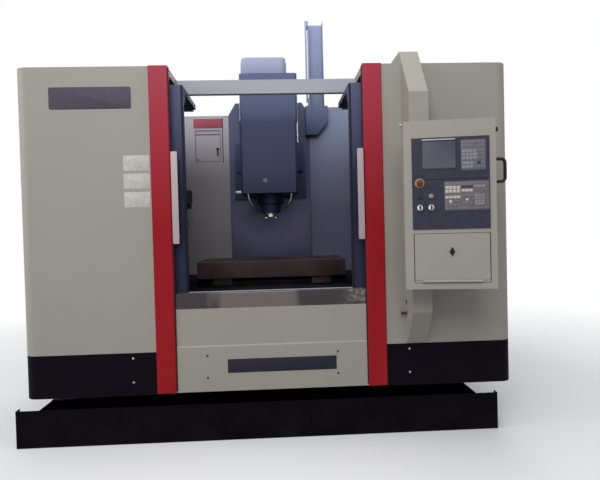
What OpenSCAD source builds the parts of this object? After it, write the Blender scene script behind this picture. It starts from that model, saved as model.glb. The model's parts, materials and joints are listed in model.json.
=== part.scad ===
// Vertical CNC machining centre with an enclosure, sliding doors and a swivelling control box.
// Millimetres. Inside the modules X runs to the right from the spindle's plane, Y runs back from
// the plane of the front panels, and Z runs up from the floor.

/* [Enclosure] */
// Width over the side panels
enclosure_w = 2700; // [2660:10:2860]
// Depth from the front panels to the rear guards and the column's front face
enclosure_d = 1480; // [1480:10:1560]
// Height of the front and side panels above the floor
enclosure_h = 2060; // [2060:5:2120]
// Height of the lower edge of the kick panels
skirt_z = 270; // [250:5:290]
// Height of the black kick panels
kick_h = 235; // [210:5:260]
// Thickness of the sheet metal
sheet = 3; // [2:0.5:4]
// Radius of the vertical front corners
corner_r = 65; // [40:5:90]
// Clear width between the door posts
opening_w = 1060; // [1020:10:1100]
// Width of each door post
post_w = 105; // [80:5:130]
// How far the door posts stand in front of the panels
post_proud = 12; // [6:1:20]
// Height of the top of the lower front panel
lower_panel_top = 735; // [700:5:760]
// Height of the polished sill strip
sill_h = 85; // [60:5:100]
// Depth of the fixed roofs from front to back
roof_d = 920; // [700:10:1000]
// Height of the cross beam over the doors
beam_h = 82; // [60:2:84]
// Height of the left rear guard above the enclosure
left_guard_rise = 50; // [20:5:100]
// Height of the right rear guard above the enclosure
right_guard_rise = 110; // [60:5:140]

/* [Doors] */
// Width of one door leaf
door_w = 600; // [580:5:640]
// Depth of a door leaf
door_t = 35; // [25:1:40]
// How far each leaf stands out of its pocket when open
door_show = 70; // [60:5:100]
// Height of a door leaf
door_h = 1149; // [1100:1:1150]
// Depth of the roof tray on top of each door
door_roof_d = 440; // [300:10:500]
// Width of the window aperture
window_w = 360; // [300:10:380]
// Height of the window aperture
window_h = 760; // [600:10:800]
// Thickness of the window pane
pane_t = 6; // [4:1:10]
// Length of the door handles
handle_l = 500; // [400:10:560]
// Width of the door handles
handle_w = 34; // [28:1:40]
// Height of the middle of the door handles
handle_z = 1345; // [1300:5:1400]

/* [Castings] */
// Width of the base casting
base_w = 860; // [840:10:900]
// Length of the base in front of the column
base_run = 1180; // [1160:10:1190]
// Height of the machined top of the base
base_top = 560; // [550:5:565]
// Height of the underside of the foot lugs
lug_z = 60; // [50:2:70]
// Thickness of the foot lugs
lug_t = 50; // [40:2:60]
// Width of the column
column_w = 670; // [660:2:680]
// Depth of the column
column_d = 570; // [500:10:640]
// Height of the column
column_h = 1650; // [1640:10:1700]
// Thickness of the casting walls
cast_wall = 30; // [24:1:36]
// Distance from the column's front face to the spindle axis
throat = 590; // [590:2:600]
// Width of the guide rails
rail_w = 45; // [40:1:48]
// Height of the guide rails
rail_h = 38; // [34:1:42]
// Running gap between a rail and its carriage blocks
rail_gap = 0.3; // [0.2:0.05:0.5]
// Distance between the two rails on the base
y_rail_pitch = 540; // [520:10:560]
// Distance between the two rails on the column
z_rail_pitch = 430; // [420:5:440]
// Distance between the two rails on the saddle
x_rail_pitch = 360; // [330:5:380]

/* [Travels] */
// Travel of the table to each side
table_travel = 400; // [300:10:400]
// Travel of the saddle each way
saddle_travel = 250; // [200:10:250]
// Travel of the head upwards from rest
head_up = 320; // [250:10:320]
// Travel of the head downwards from rest
head_down = 180; // [120:10:180]

/* [Table and saddle] */
// Length of the table
table_l = 1000; // [960:10:1000]
// Depth of the table from front to back
table_w = 500; // [480:5:510]
// Thickness of the table
table_t = 110; // [100:2:120]
// Height of the table's top face
table_top = 950; // [945:1:960]
// Width of the T-slots
slot_w = 18; // [14:1:22]
// Distance between neighbouring T-slots
slot_pitch = 90; // [80:2:95]
// Number of T-slots
slot_n = 5; // [3:1:5]
// Length of the saddle across the machine
saddle_l = 1600; // [1560:10:1640]
// Depth of the saddle from front to back
saddle_d = 530; // [510:5:540]
// Height of the saddle's underside above the base
saddle_lift = 55; // [53:1:58]
// Thickness of the saddle
saddle_t = 160; // [150:2:164]

/* [Head and spindle] */
// Width of the head casting
head_w = 390; // [360:5:400]
// Reach of the head in front of the spindle axis
head_nose = 215; // [180:5:240]
// Height of the head's underside at rest
head_z = 1410; // [1405:1:1420]
// Height of the head casting
head_h = 490; // [450:5:540]
// Height of the belt housing
housing_h = 320; // [300:2:340]
// Radius of the spindle cartridge
cartridge_r = 97.5; // [90:0.5:105]
// Length of the spindle nose below the head
nose_drop = 160; // [150:1:165]
// Radius of the spindle shaft
spindle_r = 44; // [40:0.5:48]
// Radial running clearance of shafts in their bores
shaft_gap = 0.05; // [0.02:0.01:0.08]

/* [Tool magazine] */
// Number of tool pockets
pocket_n = 12; // [8:1:14]
// Radius of the circle of tool pockets
pocket_pcr = 262; // [240:2:270]
// Radius of one tool pocket
pocket_r = 31; // [26:0.5:34]
// Outer radius of the disc
disc_r = 296; // [286:1:300]
// Thickness of the disc
disc_t = 15; // [10:1:20]
// Distance from the spindle axis to the parked disc's axis
park_x = 870; // [860:5:900]
// Drop from the spindle nose at rest to the disc's top face
disc_drop = 30; // [20:1:40]

/* [Way covers] */
// Thickness of the way cover sheets
cover_t = 2; // [1.5:0.25:2.5]
// Gap between neighbouring way cover segments
cover_gap = 0.8; // [0.5:0.1:0.9]
// Length by which neighbouring segments stay overlapped
cover_lap = 25; // [15:1:40]

/* [Control box] */
// Width of the control box
box_w = 441; // [431:5:476]
// Height of the control box
box_h = 832; // [800:2:860]
// Depth of the control box
box_d = 120; // [100:2:130]
// Height of the lower edge of the control box
box_z = 844; // [820:2:880]
// Angle at which the control box stands at rest
box_turn = 10; // [0:1:15]
// Sheet thickness of the control box
box_wall = 2.5; // [2:0.25:3.5]
// Radius of the control box's hinge pins
box_pin_r = 10; // [8:0.5:12]
// Width of the black fascia
fascia_w = 371; // [360:1:380]
// Height of the screen part of the fascia
screen_part_h = 204; // [200:1:210]
// Height of the operator part of the fascia
operator_part_h = 244; // [240:1:252]
// Thickness of the fascia plates
fascia_t = 4; // [3:0.5:4.5]
// Width of the storage door
store_w = 364; // [320:2:370]
// Height of the storage door
store_h = 234; // [200:2:240]
// Projection of the bow handle on the box's side
bow_reach = 64; // [50:1:70]
// Length of the bow handle between its legs
bow_l = 112; // [100:2:140]
// Radius of the bow handle's bar
bow_r = 8; // [6:0.5:10]

/* [Cable duct] */
// Width of the cable duct
duct_w = 104; // [90:2:110]
// Distance from the spindle's plane to the duct's left side
duct_x = 747; // [740:1:760]
// How far the duct stands in front of the panels
duct_d = 156; // [140:2:170]
// Sheet thickness of the duct
duct_wall = 2; // [1.5:0.25:3]

/* [Coolant tank] */
// Length of the tank's front plate
tank_plate_l = 2670; // [2600:10:2700]
// Distance from the spindle's plane to the left end of the front plate
tank_plate_x = 1406; // [1380:2:1420]
// Height of the tank's front plate
tank_plate_h = 205; // [195:1:220]
// Distance from the plate's ends to the tank body
tank_inset = 104; // [80:2:120]
// Depth of the tank body
tank_d = 387; // [340:1:390]
// Height of the tank body
tank_h = 190; // [160:2:192]

/* [Cabinet and guide post] */
// Width of the electrical cabinet
cabinet_w = 780; // [700:10:800]
// Depth of the electrical cabinet without its door
cabinet_d = 400; // [320:10:420]
// Height of the lower edge of the cabinet
cabinet_z = 300; // [280:10:340]
// Height of the electrical cabinet
cabinet_h = 1740; // [1600:10:1740]
// Height of the top of the cable-track guide post
post_top = 2890; // [2700:10:2950]
// Width of the cable-track guide post
track_w = 133; // [120:1:150]

/* [Hidden] */
$fn = 64;
BIG = 4000;
EPS = 1;

// Main planes of the machine
half_w = enclosure_w / 2;
inner_w = half_w - sheet;
kick_top = skirt_z + kick_h;
opening_x = opening_w / 2;
panel_x = opening_x + post_w;
roof_z = enclosure_h - sheet;
column_y = enclosure_d;
column_back = column_y + column_d;
base_back = column_back + 40;
base_front = column_y - base_run;
spindle_y = column_y - throat;
column_top = base_top + column_h;

// Shift that puts the origin under the middle of the whole machine
box_hinge_x = duct_x + 43;
box_hinge_y = -duct_d - 26;
box_hinge_u = 92;
box_hinge_back = 25;
front_reach = box_hinge_y - (box_w - box_hinge_u) * sin(box_turn)
  - (box_d + box_hinge_back) * cos(box_turn);
shift_x = (tank_plate_x - half_w) / 2;
shift_y = -(front_reach + base_back) / 2;

// Tank and the base's toe behind it
tank_set = 10;
tank_x = [-tank_plate_x + tank_inset, -tank_plate_x + tank_plate_l - tank_inset];
tank_y = [tank_set + sheet, tank_set + sheet + tank_d];
tank_clear = 30;
toe_y = tank_y[1] + tank_clear;
pump_r = 62;
pump_from_side = 155;
pump_from_end = 110;
pump_x = max(tank_x[0] + pump_from_end, -inner_w + pump_from_side);
pump_strip_d = 180;

// Doors
door_in = opening_x - door_show;
door_y = 45;
door_lift = 0.5;
door_z = lower_panel_top + sill_h + door_lift;
door_top = door_z + door_h;
door_back = door_y + door_t;
window_x = door_in + door_w - 60 - window_w / 2;
window_z = door_z + door_h / 2;
pane_lap = 20;
track_h = 40;
track_d = 45;
handle_x = door_in + 47;

// Saddle, table and their covers
saddle_z = base_top + saddle_lift;
saddle_top = saddle_z + saddle_t;
saddle_y = spindle_y - 280;
saddle_back = saddle_y + saddle_d;
table_z = table_top - table_t;
cover_step = cover_t + cover_gap;
// X covers: each side has three segments, the smallest one on the saddle
x_seg = (2 * table_travel + 2 * cover_lap) / 2 + 5;
x_outer = [table_l / 2 + table_travel + 10, table_l / 2 + table_travel + 10 + x_seg];
x_inner = [table_l / 2, table_l / 2 + x_seg];
x_mid = [(x_outer[0] + x_inner[0]) / 2, (x_outer[1] + x_inner[1]) / 2];
x_cover_y = 255;
x_cover_z = saddle_top + rail_h + 11;
// Y covers: three segments, the smallest one on the base
y_lap = 30;
y_fixed_front = saddle_y - saddle_travel - 280;
y_seg = (saddle_y + saddle_travel - y_fixed_front + 2 * y_lap) / 3;
y_moving = [saddle_y - y_seg, saddle_y];
y_fixed = [y_fixed_front, y_fixed_front + y_seg];
y_mid = [(y_fixed[0] + y_moving[0]) / 2, (y_fixed[1] + y_moving[1]) / 2];
y_cover_x = 330;
y_cover_z = base_top + rail_h + 6;
// Z covers: the upper one hangs from the head, the lower one stands on the base
z_cover_x = column_w / 2 - 17;
z_cover_y = column_y - rail_h - 17;
z_low_top = head_z - head_down - 5;
z_up_low = z_low_top - cover_lap - head_up;

// Head
slide_y = [column_y - rail_h - rail_gap - 42, column_y - rail_h - rail_gap];
slide_h = 450;
housing_x = [-head_w / 2 + 5, head_w / 2 + 7];
housing_y = spindle_y - head_nose + 12;
housing_z = head_z + head_h;
housing_top = housing_z + housing_h;
nose_z = head_z - nose_drop;
spindle_top = head_z + 90;

// Magazine
disc_z = nose_z - disc_drop;
disc_low = disc_z - disc_t;
magazine_y = spindle_y;
magazine_rail_y = magazine_y + 230;
plate_low = disc_z + 70;
plate_t = 30;
magazine_rail_top = head_z - 40;
magazine_rail_low = magazine_rail_top - rail_h;
magazine_travel = park_x - pocket_pcr;
carriage_w = 120;
carriage_x = [-inner_w + 12, -inner_w + 12 + carriage_w];
arm_t = 30;
arm_x = 720;
arm_h = 240;

// Control box, in its own frame: u to the right, d into the box, z up from its lower edge
fascia_u = 39;
fascia_drop = 86;
fascia_split = 2;
fascia_top = box_h - fascia_drop;
operator_top = fascia_top - screen_part_h - fascia_split;
fascia_low = operator_top - operator_part_h;
store_u = 44;
store_top = box_h - 556;
store_low = store_top - store_h;
store_gap = 2;
store_hinge_d = -6.5;
store_hinge_z = store_low - 3;
latch_u = store_u + store_w / 2;
latch_z = store_top - 91;
screen_u = [91, 248];
screen_drop = [105, 235];
letter_u = [275, 392];
letter_drop = [103, 250];
operator_u = [194, 406];
operator_drop = [304, 444];
button_u = [75, 129];
button_z = [box_h - 308, box_h - 372, box_h - 428];
button_r = 11;
button_gap = 0.08;
stem_l = 22;
shelf_gap = 16;
shelf_up = 60;
tongue_gap = 1.5;

// Small hinges of the doors
pin_r = 3;
knuckle_r = 6;
hinge_gap = 0.3;

// Moves a machine piece from the machine's frame to the part's frame
module place() {
  translate([shift_x, shift_y, 0]) children();
}

// Moves a piece from the control box's own frame to the machine's frame
module in_box() {
  translate([box_hinge_x, box_hinge_y, box_z])
    rotate([0, 0, -box_turn])
      translate([-box_hinge_u, -box_d - box_hinge_back, 0]) children();
}

// A block between two limits on each axis
module span(x, y, z) {
  translate([x[0], y[0], z[0]]) cube([x[1] - x[0], y[1] - y[0], z[1] - z[0]]);
}

// A Y-Z outline extruded along X
module along_x(x) {
  translate([x[0], 0, 0]) rotate([90, 0, 90]) linear_extrude(x[1] - x[0]) children();
}

// An X-Z outline extruded along Y
module along_y(y) {
  translate([0, y[1], 0]) rotate([90, 0, 0]) linear_extrude(y[1] - y[0]) children();
}

// An X-Y outline extruded along Z
module along_z(z) {
  translate([0, 0, z[0]]) linear_extrude(z[1] - z[0]) children();
}

// The same piece on both sides of the spindle's plane
module both_sides() {
  children();
  mirror([1, 0, 0]) children();
}

module left_side() {
  mirror([1, 0, 0]) children();
}

// A rectangle with round corners between two limits on each axis
module round_rect(x, y, r) {
  square_w = x[1] - x[0];
  square_h = y[1] - y[0];
  translate([x[0] + r, y[0]]) square([square_w - 2 * r, square_h]);
  translate([x[0], y[0] + r]) square([square_w, square_h - 2 * r]);
  for (cx = [x[0] + r, x[1] - r], cy = [y[0] + r, y[1] - r]) {
    translate([cx, cy]) circle(r);
  }
}

// Section of a guide rail standing on Y = 0, grown by a running gap
module rail_section(grow = 0) {
  w = rail_w / 2 + grow;
  waist = w - rail_w * 0.12;
  polygon([
    [-w, 0], [w, 0], [w, rail_h * 0.3], [waist, rail_h * 0.42], [waist, rail_h * 0.58],
    [w, rail_h * 0.72], [w, rail_h + grow], [-w, rail_h + grow], [-w, rail_h * 0.72],
    [-waist, rail_h * 0.58], [-waist, rail_h * 0.42], [-w, rail_h * 0.3]
  ]);
}

block_l = 130;

// Section of a carriage block round a rail, up to the plate that it carries
module block_section(top) {
  block_w = rail_w * 2;
  foot = 14;
  difference() {
    translate([-block_w / 2, foot]) square([block_w, top - foot]);
    rail_section(rail_gap);
  }
}

// Vertical hinge on X = 0, Y = 0: the fixed half holds the pin, the moving half turns on it
module hinge_fixed(length) {
  third = length / 3;
  cylinder(r = pin_r, h = length);
  for (z = [0, length - third + hinge_gap]) {
    translate([0, 0, z]) cylinder(r = knuckle_r, h = third - hinge_gap);
  }
}

module hinge_moving(length) {
  third = length / 3;
  translate([0, 0, third]) difference() {
    cylinder(r = knuckle_r, h = third);
    translate([0, 0, -EPS]) cylinder(r = pin_r + shaft_gap, h = third + 2 * EPS);
  }
}

// Leaf of the moving half or leaves of the fixed half
module hinge_leaf(length, moving, reach) {
  third = length / 3;
  if (moving) {
    span([0, reach[0]], reach[1], [third, 2 * third]);
  } else {
    span([0, reach[0]], reach[1], [0, third - hinge_gap]);
    span([0, reach[0]], reach[1], [2 * third + hinge_gap, length]);
  }
}

// Foot positions: three on each side of the base
lug_w = 110;
lug_l = 200;
lug_root = cast_wall / 2;
relief_t = 12;
rear_foot_inset = 110;
foot_x = base_w / 2 + lug_w / 2;
foot_y = [toe_y + lug_l / 2, (base_front + base_back) / 2, base_back - rear_foot_inset];
stud_y = 45;
stud_r = 12;
anchor_r = 13;

module base_casting() {
  place() color("DimGray") {
    ledge_z = base_top - 140;
    throat_h = 120;
    difference() {
      along_x([-base_w / 2, base_w / 2]) polygon([
        [base_front, base_top], [base_front, ledge_z], [toe_y, ledge_z - throat_h], [toe_y, lug_z],
        [base_back, lug_z], [base_back, base_top]
      ]);
      // Two long chambers open below, with a cross rib between them
      rib = cast_wall;
      deck_t = 70;
      chamber_x = base_w / 2 - cast_wall;
      chamber_top = base_top - deck_t;
      mid_y = (toe_y + base_back) / 2;
      for (side = [0, 1],
        y = [[toe_y + cast_wall, mid_y - rib / 2], [mid_y + rib / 2, base_back - cast_wall]]) {
        mirror([side, 0, 0]) span([rib / 2, chamber_x], y, [lug_z - EPS, chamber_top]);
      }
      // Hand holes in the side walls between the feet
      hand_r = 70;
      hand_z = lug_z + 200;
      for (y = [(foot_y[0] + foot_y[1]) / 2, (foot_y[1] + foot_y[2]) / 2]) {
        translate([-base_w, y, hand_z]) rotate([0, 90, 0])
          cylinder(r = hand_r, h = 2 * base_w);
      }
      // Relief between the machined strips for the rails
      strip_w = rail_w + 40;
      relief_x = y_rail_pitch / 2 - strip_w;
      relief_end = column_y - 60;
      span([-relief_x, relief_x], [base_front - EPS, relief_end],
        [base_top - relief_t, base_top + EPS]);
    }
    for (side = [0, 1], i = [0, 1, 2]) {
      mirror([side, 0, 0]) foot_lug(foot_y[i], i != 1);
    }
  }
}

// A foot lug with its two gussets, a hole for the levelling stud and one for an anchor bolt
module foot_lug(y, anchored) {
  x = [base_w / 2, base_w / 2 + lug_w];
  top = lug_z + lug_t;
  gusset_h = 90;
  gusset_t = cast_wall / 2;
  stud_gap = 0.5;
  difference() {
    union() {
      span([x[0] - lug_root, x[1]], [y - lug_l / 2, y + lug_l / 2], [lug_z, top]);
      for (g = [y - lug_l / 2, y + lug_l / 2 - gusset_t]) {
        along_y([g, g + gusset_t]) polygon([
          [x[0] - lug_root, lug_z], [x[1], lug_z], [x[1], top], [x[0], top + gusset_h],
          [x[0] - lug_root, top + gusset_h]
        ]);
      }
    }
    translate([foot_x, y - stud_y, lug_z - EPS])
      cylinder(r = stud_r + stud_gap, h = lug_t + 2 * EPS);
    if (anchored) {
      translate([foot_x, y + stud_y, lug_z - EPS]) cylinder(r = anchor_r, h = lug_t + 2 * EPS);
    }
  }
}

module leveling_feet() {
  place() color("Gray") {
    for (side = [0, 1], y = foot_y) {
      mirror([side, 0, 0]) translate([foot_x, y - stud_y, 0]) leveling_foot();
    }
  }
}

// A turned pad with its stud, and hexagon nuts under and over the lug
module leveling_foot() {
  pad_r = 52;
  pad_t = 16;
  pad_edge = 4;
  nut_r = 20;
  nut_t = 18;
  neck_z = lug_z - nut_t - pad_edge;
  stud_top = lug_z + lug_t + 45;
  rotate_extrude() polygon([
    [0, 0], [pad_r - pad_edge, 0], [pad_r, pad_edge], [pad_r, pad_t], [nut_r + pad_edge, neck_z],
    [stud_r, neck_z],
    [stud_r, stud_top], [0, stud_top]
  ]);
  translate([0, 0, lug_z - nut_t]) cylinder(r = nut_r, h = nut_t, $fn = 6);
  translate([0, 0, lug_z + lug_t]) cylinder(r = nut_r, h = nut_t, $fn = 6);
}

column_bays = 4;
column_shoulder = column_top - 100;
column_chamfer = 60;
bay_pitch = (column_shoulder - base_top - cast_wall) / column_bays;

// Box section with cross ribs; each bay between them has a window in the back wall
module column_casting() {
  place() color("DarkSlateGray") {
    half = column_w / 2;
    front_wall = cast_wall * 1.5;
    rim = 20;
    rim_x = 135;
    window_r = 30;
    difference() {
      // Body with the sloping upper corners of the casting
      along_y([column_y, column_back]) polygon([
        [-half, base_top], [half, base_top], [half, column_shoulder],
        [half - column_chamfer, column_top], [-half + column_chamfer, column_top],
        [-half, column_shoulder]
      ]);
      for (i = [0:column_bays - 1]) {
        low = base_top + cast_wall + i * bay_pitch;
        high = low + bay_pitch - cast_wall;
        span([-half + cast_wall, half - cast_wall],
          [column_y + front_wall, column_back - cast_wall], [low, high]);
        along_y([column_back - cast_wall - EPS, column_back + EPS])
          round_rect([-half + rim_x, half - rim_x], [low + rim, high - rim], window_r);
      }
    }
  }
}

module guide_rails() {
  place() color("Silver") {
    rail_inset = 20;
    rail_end_gap = 5;
    y_rail = [base_front + rail_inset, z_cover_y - rail_end_gap];
    z_rail = [z_low_top + 2 * rail_end_gap, column_top - 2 * rail_end_gap];
    for (x = [-y_rail_pitch / 2, y_rail_pitch / 2]) {
      translate([x, 0, base_top]) along_y(y_rail) rail_section();
    }
    for (x = [-z_rail_pitch / 2, z_rail_pitch / 2]) {
      translate([x, column_y, 0]) along_z(z_rail)
        mirror([0, 1]) rail_section();
    }
  }
}

module z_motor() {
  place() color("DimGray") {
    motor_w = 142;
    motor_r = 16;
    flange_w = 180;
    flange_r = 12;
    mount_h = 40;
    mount_bore_r = 50;
    mount_top_t = 10;
    body_h = 190;
    brake_h = 34;
    brake_step = 10;
    plug_w = 60;
    plug_z = column_top + mount_h + 110;
    y = column_y + 150;
    difference() {
      translate([0, 0, column_top]) linear_extrude(mount_h)
        round_rect([-flange_w / 2, flange_w / 2], [y - flange_w / 2, y + flange_w / 2], flange_r);
      translate([0, y, column_top - EPS])
        cylinder(r = mount_bore_r, h = mount_h - mount_top_t + EPS);
    }
    translate([0, 0, column_top + mount_h]) linear_extrude(body_h)
      round_rect([-motor_w / 2, motor_w / 2], [y - motor_w / 2, y + motor_w / 2], motor_r);
    translate([0, y, column_top + mount_h + body_h])
      cylinder(r = motor_w / 2 - brake_step, h = brake_h);
    // Connector box on the back
    span([-plug_w / 2, plug_w / 2], [y + motor_w / 2 - EPS, y + motor_w / 2 + plug_w / 2],
      [plug_z, plug_z + plug_w]);
  }
}

// Plan outline of the right-hand front sheet: along the front, round the corner and back
module corner_outline(inner, back) {
  square_end = half_w - corner_r;
  translate([inner, 0]) square([square_end - inner, sheet]);
  translate([half_w - sheet, corner_r]) square([sheet, back - corner_r]);
  translate([square_end, corner_r]) intersection() {
    difference() {
      circle(corner_r);
      circle(corner_r - sheet);
    }
    translate([0, -corner_r]) square([corner_r, corner_r]);
  }
}

side_start = 150;
panel_fold = 30;

module right_front_panel() {
  place() color("Beige") front_panel();
}

module left_front_panel() {
  place() color("Beige") left_side() front_panel();
}

// Front sheet with the corner and a fold along the door post
module front_panel() {
  along_z([kick_top, enclosure_h]) corner_outline(panel_x, side_start);
  span([panel_x, panel_x + sheet], [sheet, panel_fold], [kick_top, enclosure_h]);
}

module kick_panels() {
  place() color("Black") both_sides() {
    round_r = 14;
    difference() {
      union() {
        along_z([skirt_z, kick_top]) corner_outline(panel_x, enclosure_d);
        along_z([skirt_z, skirt_z + sheet]) translate([inner_w - 30, side_start])
          square([30, enclosure_d - side_start]);
      }
      // Round lower corners at both ends
      along_y([-EPS, sheet + EPS]) difference() {
        translate([panel_x - EPS, skirt_z - EPS]) square([round_r + EPS, round_r + EPS]);
        translate([panel_x + round_r, skirt_z + round_r]) circle(round_r);
      }
    }
  }
}

post_low = skirt_z + 8;
jamb_back = door_y - 5;

module door_posts() {
  place() color("Crimson") both_sides() {
    front = -post_proud;
    along_z([post_low, enclosure_h]) polygon([
      [opening_x, jamb_back], [opening_x, front + 4], [opening_x + 4, front],
      [panel_x - 4, front], [panel_x, front + 4], [panel_x, panel_fold],
      [panel_x - sheet, panel_fold], [panel_x - sheet, front + sheet],
      [opening_x + sheet, front + sheet], [opening_x + sheet, jamb_back]
    ]);
  }
}

module lower_front_panel() {
  place() color("Beige") {
    seam_z = 524;
    joggle = 4;
    step = 8;
    fold = 36;
    along_x([-opening_x, opening_x]) polygon([
      [0, lower_panel_top], [0, seam_z + step], [-joggle, seam_z], [-joggle, post_low],
      [fold, post_low], [fold, post_low + sheet], [-joggle + sheet, post_low + sheet],
      [-joggle + sheet, seam_z - 1], [sheet, seam_z + step - 1], [sheet, lower_panel_top]
    ]);
  }
}

sill_top = lower_panel_top + sill_h;

module sill_strip() {
  place() color("Silver") {
    lip = 30;
    thick = 2;
    along_x([-opening_x, opening_x]) polygon([
      [0, lower_panel_top], [0, sill_top - 3], [3, sill_top], [jamb_back, sill_top],
      [jamb_back, sill_top - lip], [jamb_back - thick, sill_top - lip],
      [jamb_back - thick, sill_top - thick], [3.6, sill_top - thick], [thick, sill_top - 3.6],
      [thick, lower_panel_top]
    ]);
  }
}

module right_side_panel() {
  place() color("Beige") side_panel();
}

module left_side_panel() {
  place() color("Beige") left_side() side_panel();
}

// Side sheet with folds along its free top and its rear edge
module side_panel() {
  fold = 40;
  span([inner_w, half_w], [side_start, enclosure_d], [kick_top, enclosure_h]);
  span([inner_w - fold, inner_w], [sheet + roof_d, enclosure_d], [roof_z, enclosure_h]);
  span([inner_w - fold, inner_w], [enclosure_d - sheet, enclosure_d], [pan_top + 20, roof_z]);
}

beam_y = [270, 310];
beam_low = roof_z - beam_h;

module right_roof() {
  place() color("Beige") roof();
}

module left_roof() {
  place() color("Beige") left_side() roof();
}

// Roof sheet with folds along its inner and rear edges, notched for the cross beam and for the
// folds of the post and the front panel, with the panel's corner radius
module roof() {
  fold = 37;
  back = sheet + roof_d;
  inner = opening_x + sheet;
  along_z([roof_z, enclosure_h]) {
    translate([inner, panel_fold]) square([inner_w - corner_r - inner, back - panel_fold]);
    translate([inner_w - corner_r, corner_r]) square([corner_r, back - corner_r]);
    translate([panel_x + sheet, sheet])
      square([half_w - corner_r - panel_x - sheet, panel_fold]);
    translate([half_w - corner_r, corner_r]) circle(corner_r - sheet);
  }
  difference() {
    span([inner, inner + sheet], [jamb_back + sheet, back], [roof_z - fold, roof_z + sheet / 2]);
    span([0, inner_w], beam_y, [0, roof_z]);
  }
  span([inner + sheet, inner_w], [back - sheet, back], [roof_z - fold, roof_z + sheet / 2]);
}

track_top = sill_top;

module door_rails() {
  place() color("Beige") {
    // Hollow cross beam between the side panels
    difference() {
      span([-inner_w, inner_w], beam_y, [beam_low, roof_z]);
      span([-inner_w - EPS, inner_w + EPS], [beam_y[0] + sheet, beam_y[1] - sheet],
        [beam_low + sheet, roof_z - sheet]);
    }
    // Track under the doors, with its brackets on the front panels
    track_x = door_in + door_w + 40;
    difference() {
      span([-track_x, track_x], [jamb_back, jamb_back + track_d],
        [track_top - track_h, track_top]);
      span([-track_x - EPS, track_x + EPS],
        [jamb_back + sheet, jamb_back + track_d - sheet],
        [track_top - track_h + sheet, track_top - sheet]);
    }
    both_sides() {
      for (x = [panel_x + 90, track_x - 60]) {
        span([x, x + 40], [sheet, jamb_back], [track_top - track_h, track_top - track_h + 20]);
      }
    }
  }
}

left_guard_top = enclosure_h + left_guard_rise;
right_guard_top = enclosure_h + right_guard_rise;
hatch_x = [-620, -396];
hatch_z = [1726, 2000];
hatch_lap = 12;
hatch_t = 2;
hatch_axis = [hatch_x[0] - 8, enclosure_d + sheet + knuckle_r + 1];
hatch_hinge_l = 120;
hatch_hinge_z = (hatch_z[0] + hatch_z[1] - hatch_hinge_l) / 2;

// Outline of the right rear guard, cut round the base
module guard_outline(top) {
  polygon([
    [inner_w, skirt_z], [inner_w, top], [column_w / 2, top], [column_w / 2, base_top],
    [base_w / 2, base_top], [base_w / 2, skirt_z]
  ]);
}

module right_rear_guard() {
  place() color("Gainsboro") {
    along_y([enclosure_d, enclosure_d + sheet]) guard_outline(right_guard_top);
  }
}

module left_rear_guard() {
  place() color("Gainsboro") {
    difference() {
      along_y([enclosure_d, enclosure_d + sheet]) mirror([1, 0]) guard_outline(left_guard_top);
      // Opening behind the hatch, and the way through for the magazine's arm
      through = [enclosure_d - EPS, enclosure_d + sheet + EPS];
      span([hatch_x[0] + hatch_lap, hatch_x[1] - hatch_lap], through,
        [hatch_z[0] + hatch_lap, hatch_z[1] - hatch_lap]);
      span([-arm_x - arm_t - 6, -arm_x + 6], through,
        [magazine_rail_top - 6, magazine_rail_top + arm_h + 6]);
    }
    translate([hatch_axis[0], hatch_axis[1], hatch_hinge_z]) {
      hinge_fixed(hatch_hinge_l);
      hinge_leaf(hatch_hinge_l, false, [-knuckle_r, [-knuckle_r - 1, 0]]);
    }
  }
}

module rear_hatch() {
  place() color("Gainsboro") {
    face = enclosure_d + sheet + hinge_gap;
    span(hatch_x, [face, face + hatch_t], hatch_z);
    translate([hatch_axis[0], hatch_axis[1], hatch_hinge_z]) {
      hinge_moving(hatch_hinge_l);
      difference() {
        span([0, hatch_x[0] - hatch_axis[0]], [face - hatch_axis[1], -pin_r - 1],
          [hatch_hinge_l / 3, 2 * hatch_hinge_l / 3]);
        translate([0, 0, -EPS]) cylinder(r = pin_r + shaft_gap, h = hatch_hinge_l + 2 * EPS);
      }
    }
    // Pull knob near the free edge
    translate([hatch_x[1] - 30, face + hatch_t, (hatch_z[0] + hatch_z[1]) / 2])
      rotate([-90, 0, 0]) rotate_extrude() polygon([[0, 0], [6, 0], [6, 10], [12, 14], [12, 22],
        [0, 22]]);
  }
}

pan_top = 600;
pan_edge = 560;
pan_low = 300;
pan_fold = 40;

module chip_pans() {
  place() color("DarkGray") {
    both_sides() {
      along_y([corner_r, enclosure_d]) polygon([
        [base_w / 2, pan_low], [inner_w - sheet, pan_edge], [inner_w - sheet, pan_top],
        [inner_w, pan_top], [inner_w, pan_edge - sheet], [base_w / 2, pan_low - sheet]
      ]);
    }
    // Shelf in front of the base, folded down behind the lower front panel
    shelf_x = base_w / 2;
    along_x([-shelf_x, shelf_x]) polygon([
      [sheet, base_top], [base_front, base_top], [base_front, base_top - sheet],
      [2 * sheet, base_top - sheet], [2 * sheet, base_top - pan_fold],
      [sheet, base_top - pan_fold]
    ]);
  }
}

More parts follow.
